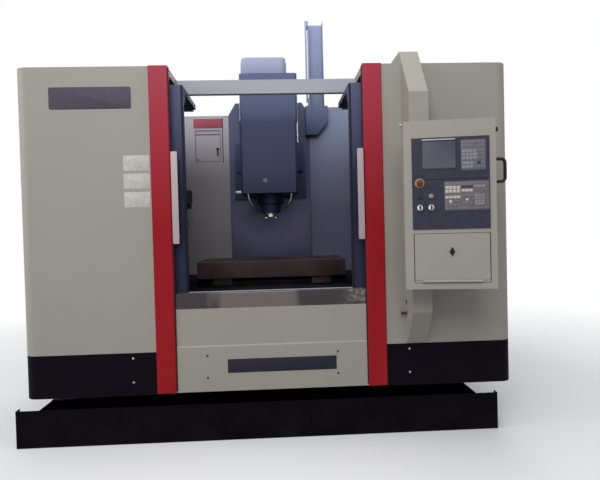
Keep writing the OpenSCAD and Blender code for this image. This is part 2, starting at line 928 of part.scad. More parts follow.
module coolant_tank() {
  place() color("Black") {
    plate_x = [-tank_plate_x, -tank_plate_x + tank_plate_l];
    flange = 45;
    bays = 3;
    weir_h = 80;
    strip_t = 4;
    // Front plate with its side flanges
    along_z([0, tank_plate_h]) polygon([
      [plate_x[0], tank_set], [plate_x[1], tank_set], [plate_x[1], tank_set + flange],
      [plate_x[1] - sheet, tank_set + flange], [plate_x[1] - sheet, tank_y[0]],
      [plate_x[0] + sheet, tank_y[0]], [plate_x[0] + sheet, tank_set + flange],
      [plate_x[0], tank_set + flange]
    ]);
    // Body open above, with its front wall on the plate
    difference() {
      span(tank_x, [tank_y[0] - sheet / 2, tank_y[1]], [0, tank_h]);
      span([tank_x[0] + sheet, tank_x[1] - sheet], [tank_y[0] + sheet, tank_y[1] - sheet],
        [sheet, tank_h + EPS]);
    }
    // Low weirs across the body
    for (i = [1:bays - 1]) {
      x = tank_x[0] + i * (tank_x[1] - tank_x[0]) / bays;
      span([x, x + sheet], [tank_y[0], tank_y[1] - sheet / 2], [sheet / 2, weir_h]);
    }
    // Cover strip over the left rear corner, which carries the pump
    span([pump_x - pump_from_end, pump_x + 1.2 * pump_from_end],
      [tank_y[1] - pump_strip_d, tank_y[1]], [tank_h - sheet / 2, tank_h + strip_t]);
  }
}

// Finned motor on its flange, with the connector box in front
module coolant_pump() {
  place() color("SteelBlue")
    translate([pump_x, tank_y[1] - pump_strip_d / 2, tank_h + 4]) {
      flange_h = 12;
      body_h = 150;
      cap_h = 26;
      fin = 5;
      fin_depth = 6;
      box_w = 60;
      box_z = 70;
      cylinder(r = pump_r + 14, h = flange_h + EPS);
      difference() {
        translate([0, 0, flange_h]) cylinder(r = pump_r, h = body_h);
        for (z = [30:2 * fin:140]) {
          translate([0, 0, z]) difference() {
            cylinder(r = pump_r + EPS, h = fin);
            translate([0, 0, -EPS]) cylinder(r = pump_r - fin_depth, h = fin + 2 * EPS);
          }
        }
      }
      translate([0, 0, flange_h + body_h])
        cylinder(r1 = pump_r, r2 = pump_r - 12, h = cap_h);
      span([-box_w / 2, box_w / 2], [-pump_r - 34, -pump_r + 8], [box_z, box_z + 50]);
    }
}

duct_low = 701;
duct_high = 1865;
duct_foot = [-30, kick_top + 10];
duct_roof_z = enclosure_h + 75;
duct_roof_y = 420;
box_lug_z = [box_z + 150, box_z + 640];
box_lug_t = 30;
box_knuckle_h = 40;

// Side outline of the duct, drawn in by a wall; the back stays open on the panel and the roof
module duct_outline(t) {
  front = -duct_d + t;
  slope = t * 0.55;
  polygon([
    [0, duct_foot[1] + t], [duct_foot[0], duct_foot[1] + t], [front, duct_low + slope],
    [front, duct_high - slope], [0, enclosure_h + 28 - 1.2 * t],
    [33, duct_roof_z - t], [duct_roof_y - t, duct_roof_z - t], [duct_roof_y - t, enclosure_h],
    [0, enclosure_h]
  ]);
}

// Outline of a hinge lug round the pin's axis, with its root between two limits
module box_lug(root) {
  r = box_pin_r + 9;
  circle(r);
  translate([-r, root[0]]) square([2 * r, root[1] - root[0]]);
}

module cable_duct() {
  place() color("Beige") {
    inside = [duct_x + duct_wall, duct_x + duct_w - duct_wall];
    difference() {
      along_x([duct_x, duct_x + duct_w]) duct_outline(0);
      along_x(inside) duct_outline(duct_wall);
      span(inside, [-2 * duct_wall, EPS], [duct_foot[1] + duct_wall, enclosure_h]);
      span(inside, [-EPS, duct_roof_y - duct_wall], [enclosure_h - EPS, enclosure_h + duct_wall]);
    }
    // Lugs with the pins of the control box's hinge
    pin_l = box_knuckle_h + 2 * hinge_gap;
    for (z = box_lug_z) {
      translate([box_hinge_x, box_hinge_y, z]) {
        linear_extrude(box_lug_t) box_lug([0, -duct_d - box_hinge_y]);
        translate([0, 0, box_lug_t]) cylinder(r = box_pin_r, h = pin_l);
        translate([0, 0, box_lug_t + pin_l]) cylinder(r = box_pin_r + 5, h = 6);
      }
    }
  }
}

cabinet_x = [column_w / 2 + track_w + 25, column_w / 2 + track_w + 25 + cabinet_w];
cabinet_y = [enclosure_d + sheet, enclosure_d + sheet + cabinet_d];
cabinet_top = cabinet_z + cabinet_h;
cabinet_axis = [cabinet_x[1] + 2 + knuckle_r, cabinet_y[1] + 2 + knuckle_r];
cabinet_hinge_l = 120;
cabinet_hinge_z = [cabinet_z + 200, cabinet_top - 200 - cabinet_hinge_l];

module electrical_cabinet() {
  place() color("Beige") {
    difference() {
      span(cabinet_x, cabinet_y, [cabinet_z, cabinet_top]);
      span([cabinet_x[0] + sheet, cabinet_x[1] - sheet],
        [cabinet_y[0] + sheet, cabinet_y[1] + EPS],
        [cabinet_z + sheet, cabinet_top - sheet]);
    }
    // Mounting plate with its row of drives, breakers and wiring channels
    plate_y = cabinet_y[0] + sheet;
    span([cabinet_x[0] + 60, cabinet_x[1] - 60], [plate_y, plate_y + 6],
      [cabinet_z + 80, cabinet_top - 80]);
    drive_w = 100;
    for (i = [0:4]) {
      x = cabinet_x[0] + 90 + i * (drive_w + 20);
      span([x, x + drive_w], [plate_y + 6, plate_y + 210], [cabinet_top - 620, cabinet_top - 220]);
    }
    for (z = [cabinet_top - 720, cabinet_z + 560]) {
      span([cabinet_x[0] + 90, cabinet_x[1] - 90], [plate_y + 6, plate_y + 66], [z, z + 50]);
    }
    for (i = [0:8]) {
      x = cabinet_x[0] + 110 + i * 60;
      span([x, x + 42], [plate_y + 6, plate_y + 80], [cabinet_z + 720, cabinet_z + 810]);
    }
    span([cabinet_x[0] + 120, cabinet_x[0] + 360], [plate_y + 6, plate_y + 180],
      [cabinet_z + 140, cabinet_z + 380]);
    for (z = cabinet_hinge_z) {
      translate([cabinet_axis[0], cabinet_axis[1], z]) {
        hinge_fixed(cabinet_hinge_l);
        hinge_leaf(cabinet_hinge_l, false,
          [-knuckle_r - 2, [cabinet_y[1] - cabinet_axis[1] - 20, 0]]);
      }
    }
  }
}

module cabinet_door() {
  place() color("Beige") {
    depth = 24;
    face = cabinet_y[1] + hinge_gap;
    z = [cabinet_z, cabinet_top];
    difference() {
      span(cabinet_x, [face, face + depth], z);
      span([cabinet_x[0] + 2, cabinet_x[1] - 2], [face - EPS, face + depth - 2],
        [z[0] + 2, z[1] - 2]);
    }
    // Louvres and the turning latches' escutcheons
    for (i = [0:7]) {
      along_x([cabinet_x[0] + 220, cabinet_x[1] - 220]) translate([face + depth, z[0] + 160 + i * 28])
        polygon([[0, 0], [9, 3], [9, 5], [0, 14]]);
    }
    for (s = [z[0] + 400, z[1] - 400]) {
      translate([cabinet_x[0] + 40, face + depth, s]) rotate([-90, 0, 0])
        cylinder(r = 14, h = 6);
    }
    for (h = cabinet_hinge_z) {
      translate([cabinet_axis[0], cabinet_axis[1], h]) {
        hinge_moving(cabinet_hinge_l);
        difference() {
          span([-knuckle_r - 2 - 4, 0], [0, knuckle_r], [cabinet_hinge_l / 3, 2 * cabinet_hinge_l / 3]);
          cylinder(r = pin_r + shaft_gap, h = cabinet_hinge_l);
        }
      }
    }
  }
}

// Channel on the column's side from the base up, open to the front, with the cabinet's spacers
module cable_track_guide() {
  place() color("DarkSlateGray") {
    wall = 4;
    spacer_h = 60;
    x = [column_w / 2, column_w / 2 + track_w];
    y = [column_y + 20, column_y + 120];
    slot = [x[0] - 3, x[0] + 9];
    slot_ends = 40;
    difference() {
      along_z([base_top, post_top]) polygon([
        [x[0], y[0]], [slot[1] + wall, y[0]], [slot[1] + wall, y[1] - wall],
        [x[1] - wall, y[1] - wall], [x[1] - wall, y[0]], [x[1], y[0]], [x[1], y[1]], [x[0], y[1]]
      ]);
      span([x[0] - EPS, slot[1]], [y[0] - EPS, y[1] + EPS],
        [column_top + slot_ends, post_top - slot_ends]);
    }
    // Narrow strip beside the channel, above the column, with a slot between them
    span([slot[0] - 15, slot[0]], [y[0], y[0] + wall], [column_top + wall, post_top]);
    for (z = [column_top + wall, post_top - slot_ends]) {
      span([slot[0] - wall, x[0] + wall], [y[0], y[0] + wall], [z, z + slot_ends]);
    }
    // Foot on the base
    span([x[0] + wall / 2, x[1] - wall / 2], [y[0], y[1] - wall / 2],
      [base_top, base_top + wall]);
    for (z = [cabinet_z + cabinet_h * 0.25, cabinet_z + cabinet_h * 0.75]) {
      span([x[1] - wall / 2, cabinet_x[0]], [y[1] - 40, y[1]], [z, z + spacer_h]);
    }
  }
}

module magazine_bracket() {
  place() color("DarkSlateGray") {
    beam_x = [carriage_x[0] - 5, carriage_x[1] + magazine_travel + 5];
    beam_w = 120;
    beam_h = 100;
    beam_wall = 8;
    cross_y = [column_y + 30, column_y + 150];
    arm_hole_r = 38;
    beam_z = [magazine_rail_top, magazine_rail_top + beam_h];
    beam_back = magazine_rail_y + beam_w / 2;
    // Arm through the rear guard
    difference() {
      along_x([-arm_x - arm_t, -arm_x]) polygon([
        [beam_back - arm_t, beam_z[0]], [cross_y[1], beam_z[0]],
        [cross_y[1], beam_z[0] + arm_h], [column_y, beam_z[0] + arm_h],
        [beam_back, beam_z[1]], [beam_back - arm_t, beam_z[1]]
      ]);
      translate([-arm_x - arm_t - EPS, (beam_back + column_y) / 2, beam_z[0] + 65])
        rotate([0, 90, 0]) cylinder(r = arm_hole_r, h = arm_t + 2 * EPS);
    }
    // Box section from the arm to the column's side, behind the guard
    difference() {
      span([-arm_x - arm_t / 2, -column_w / 2], cross_y, [beam_z[0], beam_z[0] + arm_h]);
      span([-arm_x, -column_w / 2 + EPS], [cross_y[0] + beam_wall, cross_y[1] - beam_wall],
        [beam_z[0] + beam_wall, beam_z[0] + arm_h - beam_wall]);
    }
    // Box beam with the rail under it
    difference() {
      span(beam_x, [magazine_rail_y - beam_w / 2, beam_back], beam_z);
      span([beam_x[0] - EPS, beam_x[1] + EPS],
        [magazine_rail_y - beam_w / 2 + beam_wall, beam_back - beam_wall],
        [beam_z[0] + beam_wall, beam_z[1] - beam_wall]);
    }
    translate([0, magazine_rail_y, magazine_rail_top]) mirror([0, 0, 1])
      along_x(beam_x) rail_section();
  }
}

// Section of a way cover segment: a roof with two skirts, open below
module cover_section(half, low, top) {
  ridge = top + 0.4;
  inner = half - cover_t;
  polygon([
    [-half, low], [-half, top], [0, ridge], [half, top], [half, low], [inner, low],
    [inner, top - cover_t], [0, ridge - cover_t], [-inner, top - cover_t], [-inner, low]
  ]);
}

// A way cover segment running along Y
module y_cover(y, level, rear_wall) {
  x = y_cover_x + level * cover_step;
  z = y_cover_z + level * cover_step;
  along_y(y) cover_section(x, level == 0 ? base_top : base_top + 2, z);
  if (rear_wall) {
    span([-x, x], [y[1] - cover_t, y[1]], [z - cover_t, saddle_z + 30]);
  }
}

module z_cover(level, z) {
  x = z_cover_x + level * cover_step;
  y = z_cover_y - level * cover_step;
  back = column_y - (level == 0 ? 0 : 6);
  along_z(z) polygon([
    [-x, back], [-x, y], [x, y], [x, back], [x - cover_t, back], [x - cover_t, y + cover_t],
    [-x + cover_t, y + cover_t], [-x + cover_t, back]
  ]);
}

module fixed_way_covers() {
  place() color("Silver") {
    y_cover(y_fixed, 0, false);
    z_cover(0, [base_top, z_low_top]);
  }
}

module y_cover_mid() {
  place() color("Silver") y_cover(y_mid, 1, false);
}

// A door leaf on the right-hand side
module door() {
  x = [door_in, door_in + door_w];
  z = [door_z, door_top];
  difference() {
    union() {
      // Tray-shaped leaf
      difference() {
        span(x, [door_y, door_back], z);
        span([x[0] + sheet, x[1] - sheet], [door_y + sheet, door_back + EPS],
          [z[0] + sheet, z[1] - sheet]);
      }
      // Roof tray with folds along its inner, outer and rear edges
      roof_y = [door_back, door_back + door_roof_d];
      span(x, roof_y, [door_top - sheet, door_top]);
      fold_z = [door_top - 30, door_top - sheet];
      span(x, [roof_y[1] - sheet, roof_y[1]], fold_z);
      for (fx = [x[0], x[1] - sheet]) {
        along_x([fx, fx + sheet]) polygon([
          [roof_y[0], door_top - sheet], [roof_y[0], door_top - 110],
          [roof_y[0] + 60, door_top - 30], [roof_y[1] - sheet, door_top - 30],
          [roof_y[1] - sheet, door_top - sheet]
        ]);
      }
    }
    along_y([door_y - EPS, door_y + sheet + EPS])
      round_rect([window_x - window_w / 2, window_x + window_w / 2],
        [window_z - window_h / 2, window_z + window_h / 2], 40);
  }
}

module door_window() {
  half = window_w / 2 + pane_lap;
  half_h = window_h / 2 + pane_lap;
  along_y([door_y + sheet, door_y + sheet + pane_t])
    round_rect([window_x - half, window_x + half], [window_z - half_h, window_z + half_h], 20);
}

handle_y = [-20, -5];

// Flat bar on two stand-offs
module door_handle() {
  z = [handle_z - handle_l / 2, handle_z + handle_l / 2];
  stand = 12;
  inset = 40;
  along_y(handle_y) round_rect([handle_x - handle_w / 2, handle_x + handle_w / 2], z, 6);
  for (s = [z[0] + inset, z[1] - inset]) {
    translate([handle_x, handle_y[1], s]) rotate([-90, 0, 0])
      cylinder(r = stand, h = door_y - handle_y[1]);
  }
}

module door_right() {
  place() color("MidnightBlue") door();
}

module door_right_window() {
  place() color("LightSteelBlue") door_window();
}

module door_right_handle() {
  place() color("Silver") door_handle();
}

module door_left() {
  place() color("MidnightBlue") left_side() door();
}

module door_left_window() {
  place() color("LightSteelBlue") left_side() door_window();
}

module door_left_handle() {
  place() color("Silver") left_side() door_handle();
}

module saddle() {
  place() color("DimGray") {
    wing_low = saddle_z + 90;
    core_x = 350;
    difference() {
      along_y([saddle_y, saddle_back]) polygon([
        [-core_x, saddle_z], [core_x, saddle_z], [saddle_l / 2, wing_low],
        [saddle_l / 2, saddle_top], [-saddle_l / 2, saddle_top], [-saddle_l / 2, wing_low]
      ]);
      // Core pockets from below, and the relief between the rails
      for (x = [-y_rail_pitch / 2 + 70, 15]) {
        span([x, x + y_rail_pitch / 2 - 85], [saddle_y + cast_wall, saddle_back - cast_wall],
          [saddle_z - EPS, saddle_top - 50]);
      }
      relief = x_rail_pitch / 2 - 60;
      span([-BIG, BIG], [spindle_y - relief, spindle_y + relief],
        [saddle_top - 12, saddle_top + EPS]);
    }
    for (x = [-y_rail_pitch / 2, y_rail_pitch / 2],
      y = [saddle_y + 40, saddle_back - 40 - block_l]) {
      translate([x, 0, base_top]) along_y([y, y + block_l]) block_section(saddle_lift);
    }
  }
}

module x_rails() {
  place() color("Silver") {
    for (y = [spindle_y - x_rail_pitch / 2, spindle_y + x_rail_pitch / 2]) {
      translate([0, y, saddle_top]) along_x([-saddle_l / 2, saddle_l / 2]) rail_section();
    }
  }
}

// A way cover segment running along X, on the right-hand side
module x_cover(x, level) {
  grow = level * cover_step;
  translate([0, spindle_y, 0]) along_x(x)
    cover_section(x_cover_y + grow, level == 0 ? saddle_top : saddle_top + 2, x_cover_z + grow);
}

module saddle_covers() {
  place() color("Silver") {
    y_cover(y_moving, 2, true);
    both_sides() {
      x_cover(x_outer, 0);
      // Arms that carry the outer covers, on the saddle's end
      for (side = [-1, 1]) {
        y = spindle_y + side * (x_cover_y - 16);
        span([saddle_l / 2, x_outer[1]], [y - 16, min(y + 16, saddle_back)],
          [saddle_top - 36, saddle_top]);
      }
    }
  }
}

// Height of the T-slot's foot and neck
slot_foot = 13;
slot_neck = 20;
slot_foot_w = 30;

module table() {
  place() color("DarkKhaki") {
    y = [spindle_y - table_w / 2, spindle_y + table_w / 2];
    x = [-table_l / 2, table_l / 2];
    chamfer = 3;
    difference() {
      along_x(x) polygon([
        [y[0], table_z], [y[1], table_z], [y[1], table_top - chamfer],
        [y[1] - chamfer, table_top], [y[0] + chamfer, table_top], [y[0], table_top - chamfer]
      ]);
      for (i = [0:slot_n - 1]) {
        slot_y = spindle_y + (i - (slot_n - 1) / 2) * slot_pitch;
        foot_low = table_top - slot_neck - slot_foot;
        span([x[0] - EPS, x[1] + EPS], [slot_y - slot_w / 2, slot_y + slot_w / 2],
          [foot_low, table_top + EPS]);
        span([x[0] - EPS, x[1] + EPS], [slot_y - slot_foot_w / 2, slot_y + slot_foot_w / 2],
          [foot_low, foot_low + slot_foot]);
      }
    }
    block_inset = 100;
    for (ry = [-x_rail_pitch / 2, x_rail_pitch / 2],
      bx = [x[0] + block_inset, x[1] - block_inset - block_l]) {
      translate([0, spindle_y + ry, saddle_top]) along_x([bx, bx + block_l])
        block_section(table_z - saddle_top);
    }
  }
}

module x_cover_inner() {
  place() color("Silver") both_sides() {
    x_cover(x_inner, 2);
    // End wall on the table's end face
    z = x_cover_z + 2 * cover_step;
    span([x_inner[0], x_inner[0] + cover_t],
      [spindle_y - table_w / 2 + 10, spindle_y + table_w / 2 - 10], [z - cover_t, table_z + 20]);
  }
}

module x_cover_mid_right() {
  place() color("Silver") x_cover(x_mid, 1);
}

module x_cover_mid_left() {
  place() color("Silver") left_side() x_cover(x_mid, 1);
}

module headstock() {
  place() color("MidnightBlue") {
    front = spindle_y - head_nose;
    half = head_w / 2;
    chamfer = 16;
    cone_z = nose_z + 25;
    cover_wall = 6;
    block_inset = 20;
    difference() {
      union() {
        // Casting: side outline, with its front edges broken in plan
        intersection() {
          along_x([-half, half]) polygon([
            [front, head_z], [spindle_y + cartridge_r + 60, head_z], [slide_y[0], head_z + 190],
            [slide_y[0], housing_z], [front, housing_z]
          ]);
          along_z([head_z - EPS, housing_z + EPS]) polygon([
            [-half + chamfer, front], [half - chamfer, front], [half, front + chamfer],
            [half, slide_y[0]], [-half, slide_y[0]], [-half, front + chamfer]
          ]);
        }
        // Slide on the column's rails
        span([-z_rail_pitch / 2 - 75, z_rail_pitch / 2 + 75], slide_y, [head_z, head_z + slide_h]);
        for (x = [-z_rail_pitch / 2, z_rail_pitch / 2],
          z = [head_z + block_inset, head_z + slide_h - block_inset - block_l]) {
          translate([x, column_y, 0]) along_z([z, z + block_l]) mirror([0, 1])
            block_section(rail_h + rail_gap);
        }
        // Gussets between casting and slide
        both_sides() along_z([head_z + 220, head_z + slide_h]) polygon([
          [half, slide_y[0]], [half, slide_y[0] - 90], [z_rail_pitch / 2 + 60, slide_y[0]]
        ]);
        // Belt housing over the casting
        along_z([housing_z, housing_top]) polygon([
          [housing_x[0] + chamfer, housing_y], [housing_x[1] - chamfer, housing_y],
          [housing_x[1], housing_y + chamfer], [housing_x[1], slide_y[0]],
          [housing_x[0], slide_y[0]], [housing_x[0], housing_y + chamfer]
        ]);
        // Spindle cartridge
        translate([0, spindle_y, 0]) rotate_extrude() polygon([
          [0, head_z], [cartridge_r, head_z], [cartridge_r, head_z - 62],
          [cartridge_r - 6, head_z - 68], [cartridge_r - 18, head_z - 68],
          [cartridge_r - 26, cone_z], [0, cone_z]
        ]);
      }
      // Core of the casting, open below behind the cartridge and above into the belt housing
      core_x = half - cast_wall;
      core_y = [spindle_y + cartridge_r + cast_wall, slide_y[0] - cast_wall];
      span([-core_x, core_x], core_y, [head_z - EPS, housing_z - cast_wall]);
      span([-core_x + 40, core_x - 40], [core_y[0] + 30, core_y[1] - 30],
        [housing_z - cast_wall - EPS, housing_z + EPS]);
      span([housing_x[0] + cover_wall, housing_x[1] - cover_wall],
        [housing_y + chamfer, slide_y[0] - cover_wall], [housing_z, housing_top - cover_wall]);
      translate([0, spindle_y, cone_z - EPS])
        cylinder(r = spindle_r + shaft_gap, h = spindle_top - cone_z + 2 * EPS);
      // Cap screw recesses in the cartridge's flange
      for (a = [30:60:330]) {
        translate([0, spindle_y, 0]) rotate([0, 0, a])
          translate([cartridge_r - 9, 0, head_z - 72]) cylinder(r = 5, h = 14);
      }
    }
  }
}

motor_x = -26;
motor_top = housing_top + 188;

module spindle_motor() {
  place() color("DarkSlateGray") {
    motor_w = 322;
    motor_y = spindle_y + 200;
    y = [motor_y - motor_w / 2, motor_y + motor_w / 2];
    x = [motor_x - motor_w / 2, motor_x + motor_w / 2];
    translate([0, 0, housing_top]) linear_extrude(motor_top - housing_top - 8)
      round_rect(x, y, 34);
    translate([0, 0, motor_top - 8]) linear_extrude(8)
      round_rect([x[0] + 8, x[1] - 8], [y[0] + 8, y[1] - 8], 30);
    // Fan cowl on the top
    translate([motor_x + 10, motor_y, motor_top]) rotate_extrude() polygon([
      [0, 0], [45, 0], [42, 10], [34, 14], [0, 14]
    ]);
  }
}

module z_cover_upper() {
  place() color("Silver") z_cover(1, [z_up_low, head_z]);
}

module spindle() {
  place() color("Silver") translate([0, spindle_y, 0]) {
    flange_r = spindle_r + 6;
    seat_z = nose_z + 25 - hinge_gap;
    taper_r = 22.2;
    taper_l = 65;
    key_h = 8;
    difference() {
      union() {
        rotate_extrude() polygon([
          [0, nose_z], [flange_r - 2, nose_z], [flange_r, nose_z + 2], [flange_r, seat_z],
          [spindle_r, seat_z], [spindle_r, spindle_top], [0, spindle_top]
        ]);
        // Drive keys on the nose
        for (side = [-1, 1]) {
          translate([side * 34 - 6, -8, nose_z - key_h]) cube([12, 16, key_h + EPS]);
        }
      }
      // 7/24 taper and the drawbar bore behind it
      translate([0, 0, nose_z - 0.001])
        cylinder(r1 = taper_r, r2 = taper_r - taper_l * 7 / 48, h = taper_l);
      translate([0, 0, nose_z + taper_l - 0.01])
        cylinder(r = 10, h = spindle_top - nose_z - taper_l - 10);
    }
  }
}

module magazine_carriage() {
  place() color("SlateGray") {
    block_low = magazine_rail_low - 32;
    arm_y = [magazine_y - 60, magazine_y + 60];
    arm_wall = 12;
    arm_top = plate_low + 50;
    // Block under the rail
    difference() {
      span(carriage_x, [magazine_rail_y - 50, magazine_rail_y + 50],
        [block_low, magazine_rail_top - 12]);
      translate([0, magazine_rail_y, magazine_rail_top]) mirror([0, 0, 1])
        along_x([carriage_x[0] - EPS, carriage_x[1] + EPS]) rail_section(rail_gap);
    }
    // Angled arm from the block to the disc's axis, open below
    difference() {
      union() {
        span(carriage_x, [arm_y[0], magazine_rail_y + 50], [plate_low, block_low]);
        span(carriage_x, [arm_y[0], magazine_rail_y - 49], [plate_low, arm_top]);
        span([carriage_x[0], -park_x], arm_y, [plate_low, arm_top]);
        translate([-park_x, magazine_y, disc_z + 2 * hinge_gap])
          cylinder(r = 84, h = arm_top - disc_z - 2 * hinge_gap);
      }
      span([carriage_x[0] + arm_wall, -park_x - 90],
        [arm_y[0] + arm_wall, arm_y[1] - arm_wall],
        [plate_low - EPS, arm_top - arm_wall]);
      translate([-park_x, magazine_y, disc_z])
        cylinder(r = 20 + shaft_gap, h = plate_low + 10 - disc_z);
    }
    // Drive motor
    translate([carriage_x[0] + 60, magazine_y, arm_top]) cylinder(r = 45, h = 90);
  }
}

module magazine_disc() {
  place() color("Silver") translate([-park_x, magazine_y, 0]) {
    difference() {
      translate([0, 0, disc_low]) cylinder(r = disc_r, h = disc_t, $fn = 128);
      for (i = [0:pocket_n - 1]) {
        rotate([0, 0, i * 360 / pocket_n]) translate([pocket_pcr, 0, disc_low - EPS]) {
          cylinder(r = pocket_r, h = disc_t + 2 * EPS);
          translate([0, -pocket_r * 0.84, 0])
            cube([disc_r, pocket_r * 1.68, disc_t + 2 * EPS]);
        }
      }
      // Lightening holes between hub and pockets
      for (i = [0:5]) {
        rotate([0, 0, i * 60 + 15]) translate([150, 0, disc_low - EPS])
          cylinder(r = 38, h = disc_t + 2 * EPS);
      }
    }
    translate([0, 0, disc_z]) cylinder(r = 60, h = hinge_gap);
    translate([0, 0, disc_low]) cylinder(r = 20, h = plate_low - disc_low);
  }
}

// Sheet box with cut-outs for the fascia and the storage door, hung on two knuckles
module control_box() {
  place() in_box() color("Beige") {
    difference() {
      span([0, box_w], [0, box_d], [0, box_h]);
      span([box_wall, box_w - box_wall], [box_wall, box_d - box_wall],
        [box_wall, box_h - box_wall]);
      rim = 10;
      span([fascia_u + rim, fascia_u + fascia_w - rim], [-EPS, box_wall + EPS],
        [fascia_low + rim, fascia_top - rim]);
      span([store_u, store_u + store_w], [-EPS, box_wall + EPS], [store_low, store_top]);
    }
    // Shelf over the storage space, clear of the latch's tongue
    span([box_wall / 2, box_w - box_wall / 2], [shelf_gap, box_d - box_wall / 2],
      [store_top + shelf_up, store_top + shelf_up + box_wall]);
    for (z = box_lug_z) {
      translate([box_hinge_u, box_d + box_hinge_back, z - box_z + box_lug_t + hinge_gap])
        linear_extrude(box_knuckle_h) difference() {
          box_lug([-box_hinge_back, 0]);
          circle(box_pin_r + shaft_gap);
        }
    }
    // Fixed half of the storage door's hinge
    translate([store_u + 40, store_hinge_d, store_hinge_z]) rotate([0, 90, 0]) {
      length = store_w - 80;
      hinge_fixed(length);
      hinge_leaf(length, false, [knuckle_r, [0, -store_hinge_d]]);
    }
  }
}

// Two black plates: screen part above, operator part below, with bores for the devices
module control_fascia() {
  place() in_box() color("Black") {
    u = [fascia_u, fascia_u + fascia_w];
    span(u, [-fascia_t, 0], [fascia_top - screen_part_h, fascia_top]);
    difference() {
      span(u, [-fascia_t, 0], [fascia_low, operator_top]);
      device_bore(button_u[0], button_z[0]);
      for (bu = button_u, bz = [button_z[1], button_z[2]]) {
        device_bore(bu, bz);
      }
    }
  }
}

module device_bore(u, z) {
  translate([u, EPS, z]) rotate([90, 0, 0])
    cylinder(r = button_r + button_gap, h = fascia_t + 2 * EPS);
}

function dropped(drop) = [box_h - drop[1], box_h - drop[0]];

// Screen in its bezel and the key fields on the fascia
module screen_and_keys() {
  place() in_box() color("SlateGray") {
    face = -fascia_t;
    bezel = 1.5;
    along_box(screen_u, dropped(screen_drop), face, bezel);
    // Letter keys, then operator keys
    key_field(letter_u, dropped(letter_drop), 6, 8, face);
    key_field(operator_u, dropped(operator_drop), 10, 6, face);
  }
}

module along_box(u, z, face, t) {
  span(u, [face - t, face], z);
}

// A membrane plate with embossed keys in rows
module key_field(u, z, columns, rows, face) {
  plate_t = 1;
  emboss = 0.6;
  pad = 6;
  key_u = (u[1] - u[0] - 2 * pad) / columns;
  key_z = (z[1] - z[0] - 2 * pad) / rows;
  land = 2;
  along_box(u, z, face, plate_t);
  for (i = [0:columns - 1], j = [0:rows - 1]) {
    ku = u[0] + pad + i * key_u;
    kz = z[0] + pad + j * key_z;
    along_box([ku + land, ku + key_u - land], [kz + land, kz + key_z - land],
      face - plate_t, emboss);
  }
}

module storage_door() {
  place() in_box() color("Beige") {
    z = [store_low + store_gap, store_top - store_gap];
    u = [store_u + store_gap, store_u + store_w - store_gap];
    fold = 14;
    difference() {
      union() {
        span(u, [0, box_wall], z);
        for (f = [u[0] + 4, u[1] - 6]) {
          span([f, f + 2], [box_wall / 2, fold], [z[0] + 8, z[1] - 8]);
        }
      }
      translate([latch_u, -EPS, latch_z]) rotate([-90, 0, 0])
        cylinder(r = 8 + shaft_gap, h = box_wall + 2 * EPS);
    }
    // Moving half of the hinge, with its leaf onto the door's face
    translate([store_u + 40, store_hinge_d, store_hinge_z]) {
      length = store_w - 80;
      rotate([0, 90, 0]) hinge_moving(length);
      difference() {
        span([length / 3, 2 * length / 3], [-store_hinge_d - 3, -store_hinge_d],
          [store_low - store_hinge_z + hinge_gap, 26]);
        rotate([0, 90, 0]) cylinder(r = pin_r + shaft_gap, h = length);
      }
    }
  }
}

// Diamond-shaped turning latch with its shaft and tongue
module storage_latch() {
  tongue_t = 3;
  place() in_box() color("Black") translate([latch_u, 0, latch_z]) {
    rotate([-90, 0, 0]) translate([0, 0, -hinge_gap]) {
      translate([0, 0, -6]) linear_extrude(6) polygon([[-13, 0], [0, -22], [13, 0], [0, 22]]);
      translate([0, 0, -16]) cylinder(r = 7, h = 10 + EPS);
      cylinder(r = 8, h = hinge_gap + box_wall + tongue_gap + tongue_t);
    }
    span([-8, 100], [box_wall + tongue_gap, box_wall + tongue_gap + tongue_t], [-8, 8]);
  }
}

// Bow handle of round bar with two quarter bends
module pendant_handle() {
  place() in_box() color("Black") {
    bend = 20;
    mid_z = 581;
    d = box_d / 2;
    z = [mid_z - bow_l / 2, mid_z + bow_l / 2];
    reach = bow_reach - bow_r;
    translate([box_w + reach, d, z[0] + bend]) cylinder(r = bow_r, h = bow_l - 2 * bend);
    for (s = [0, 1]) {
      translate([box_w, d, z[s]]) rotate([0, 90, 0]) {
        cylinder(r = bow_r, h = reach - bend);
        cylinder(r = bow_r + 5, h = 4);
      }
      translate([box_w + reach - bend, d, z[s] + (1 - 2 * s) * bend])
        rotate([90, 90 - 90 * s, 0])
          rotate_extrude(angle = 90) translate([bend, 0]) circle(bow_r);
    }
  }
}

ring_t = 5;

module e_stop_ring() {
  place() in_box() color("Gold") {
    translate([button_u[0], -fascia_t, button_z[0]]) rotate([90, 0, 0]) difference() {
      cylinder(r1 = 24, r2 = 22, h = ring_t);
      translate([0, 0, -EPS]) cylinder(r = button_r + button_gap, h = ring_t + 2 * EPS);
    }
  }
}

press = 4;

// Mushroom head on its stem
module e_stop() {
  place() in_box() color("Red") {
    head_gap = press + 1;
    translate([button_u[0], -fascia_t - ring_t, button_z[0]]) rotate([90, 0, 0])
      rotate_extrude() polygon([
        [0, -stem_l], [button_r, -stem_l], [button_r, head_gap], [13, head_gap],
        [15, head_gap + 3], [15, head_gap + 9], [12, head_gap + 13], [0, head_gap + 14]
      ]);
  }
}

// A push button: a cap in front of the fascia on a stem through it
module push_button(u, z) {
  cap = 5;
  translate([u, -fascia_t, z]) rotate([90, 0, 0]) rotate_extrude() polygon([
    [0, -stem_l + fascia_t], [button_r, -stem_l + fascia_t], [button_r, press + cap],
    [button_r - 2, press + cap + 1.5], [0, press + cap + 1.5]
  ]);
}

module start_button() {
  place() in_box() color("HotPink") push_button(button_u[1], button_z[1]);
}

module stop_button() {
  place() in_box() color("DarkRed") push_button(button_u[0], button_z[1]);
}

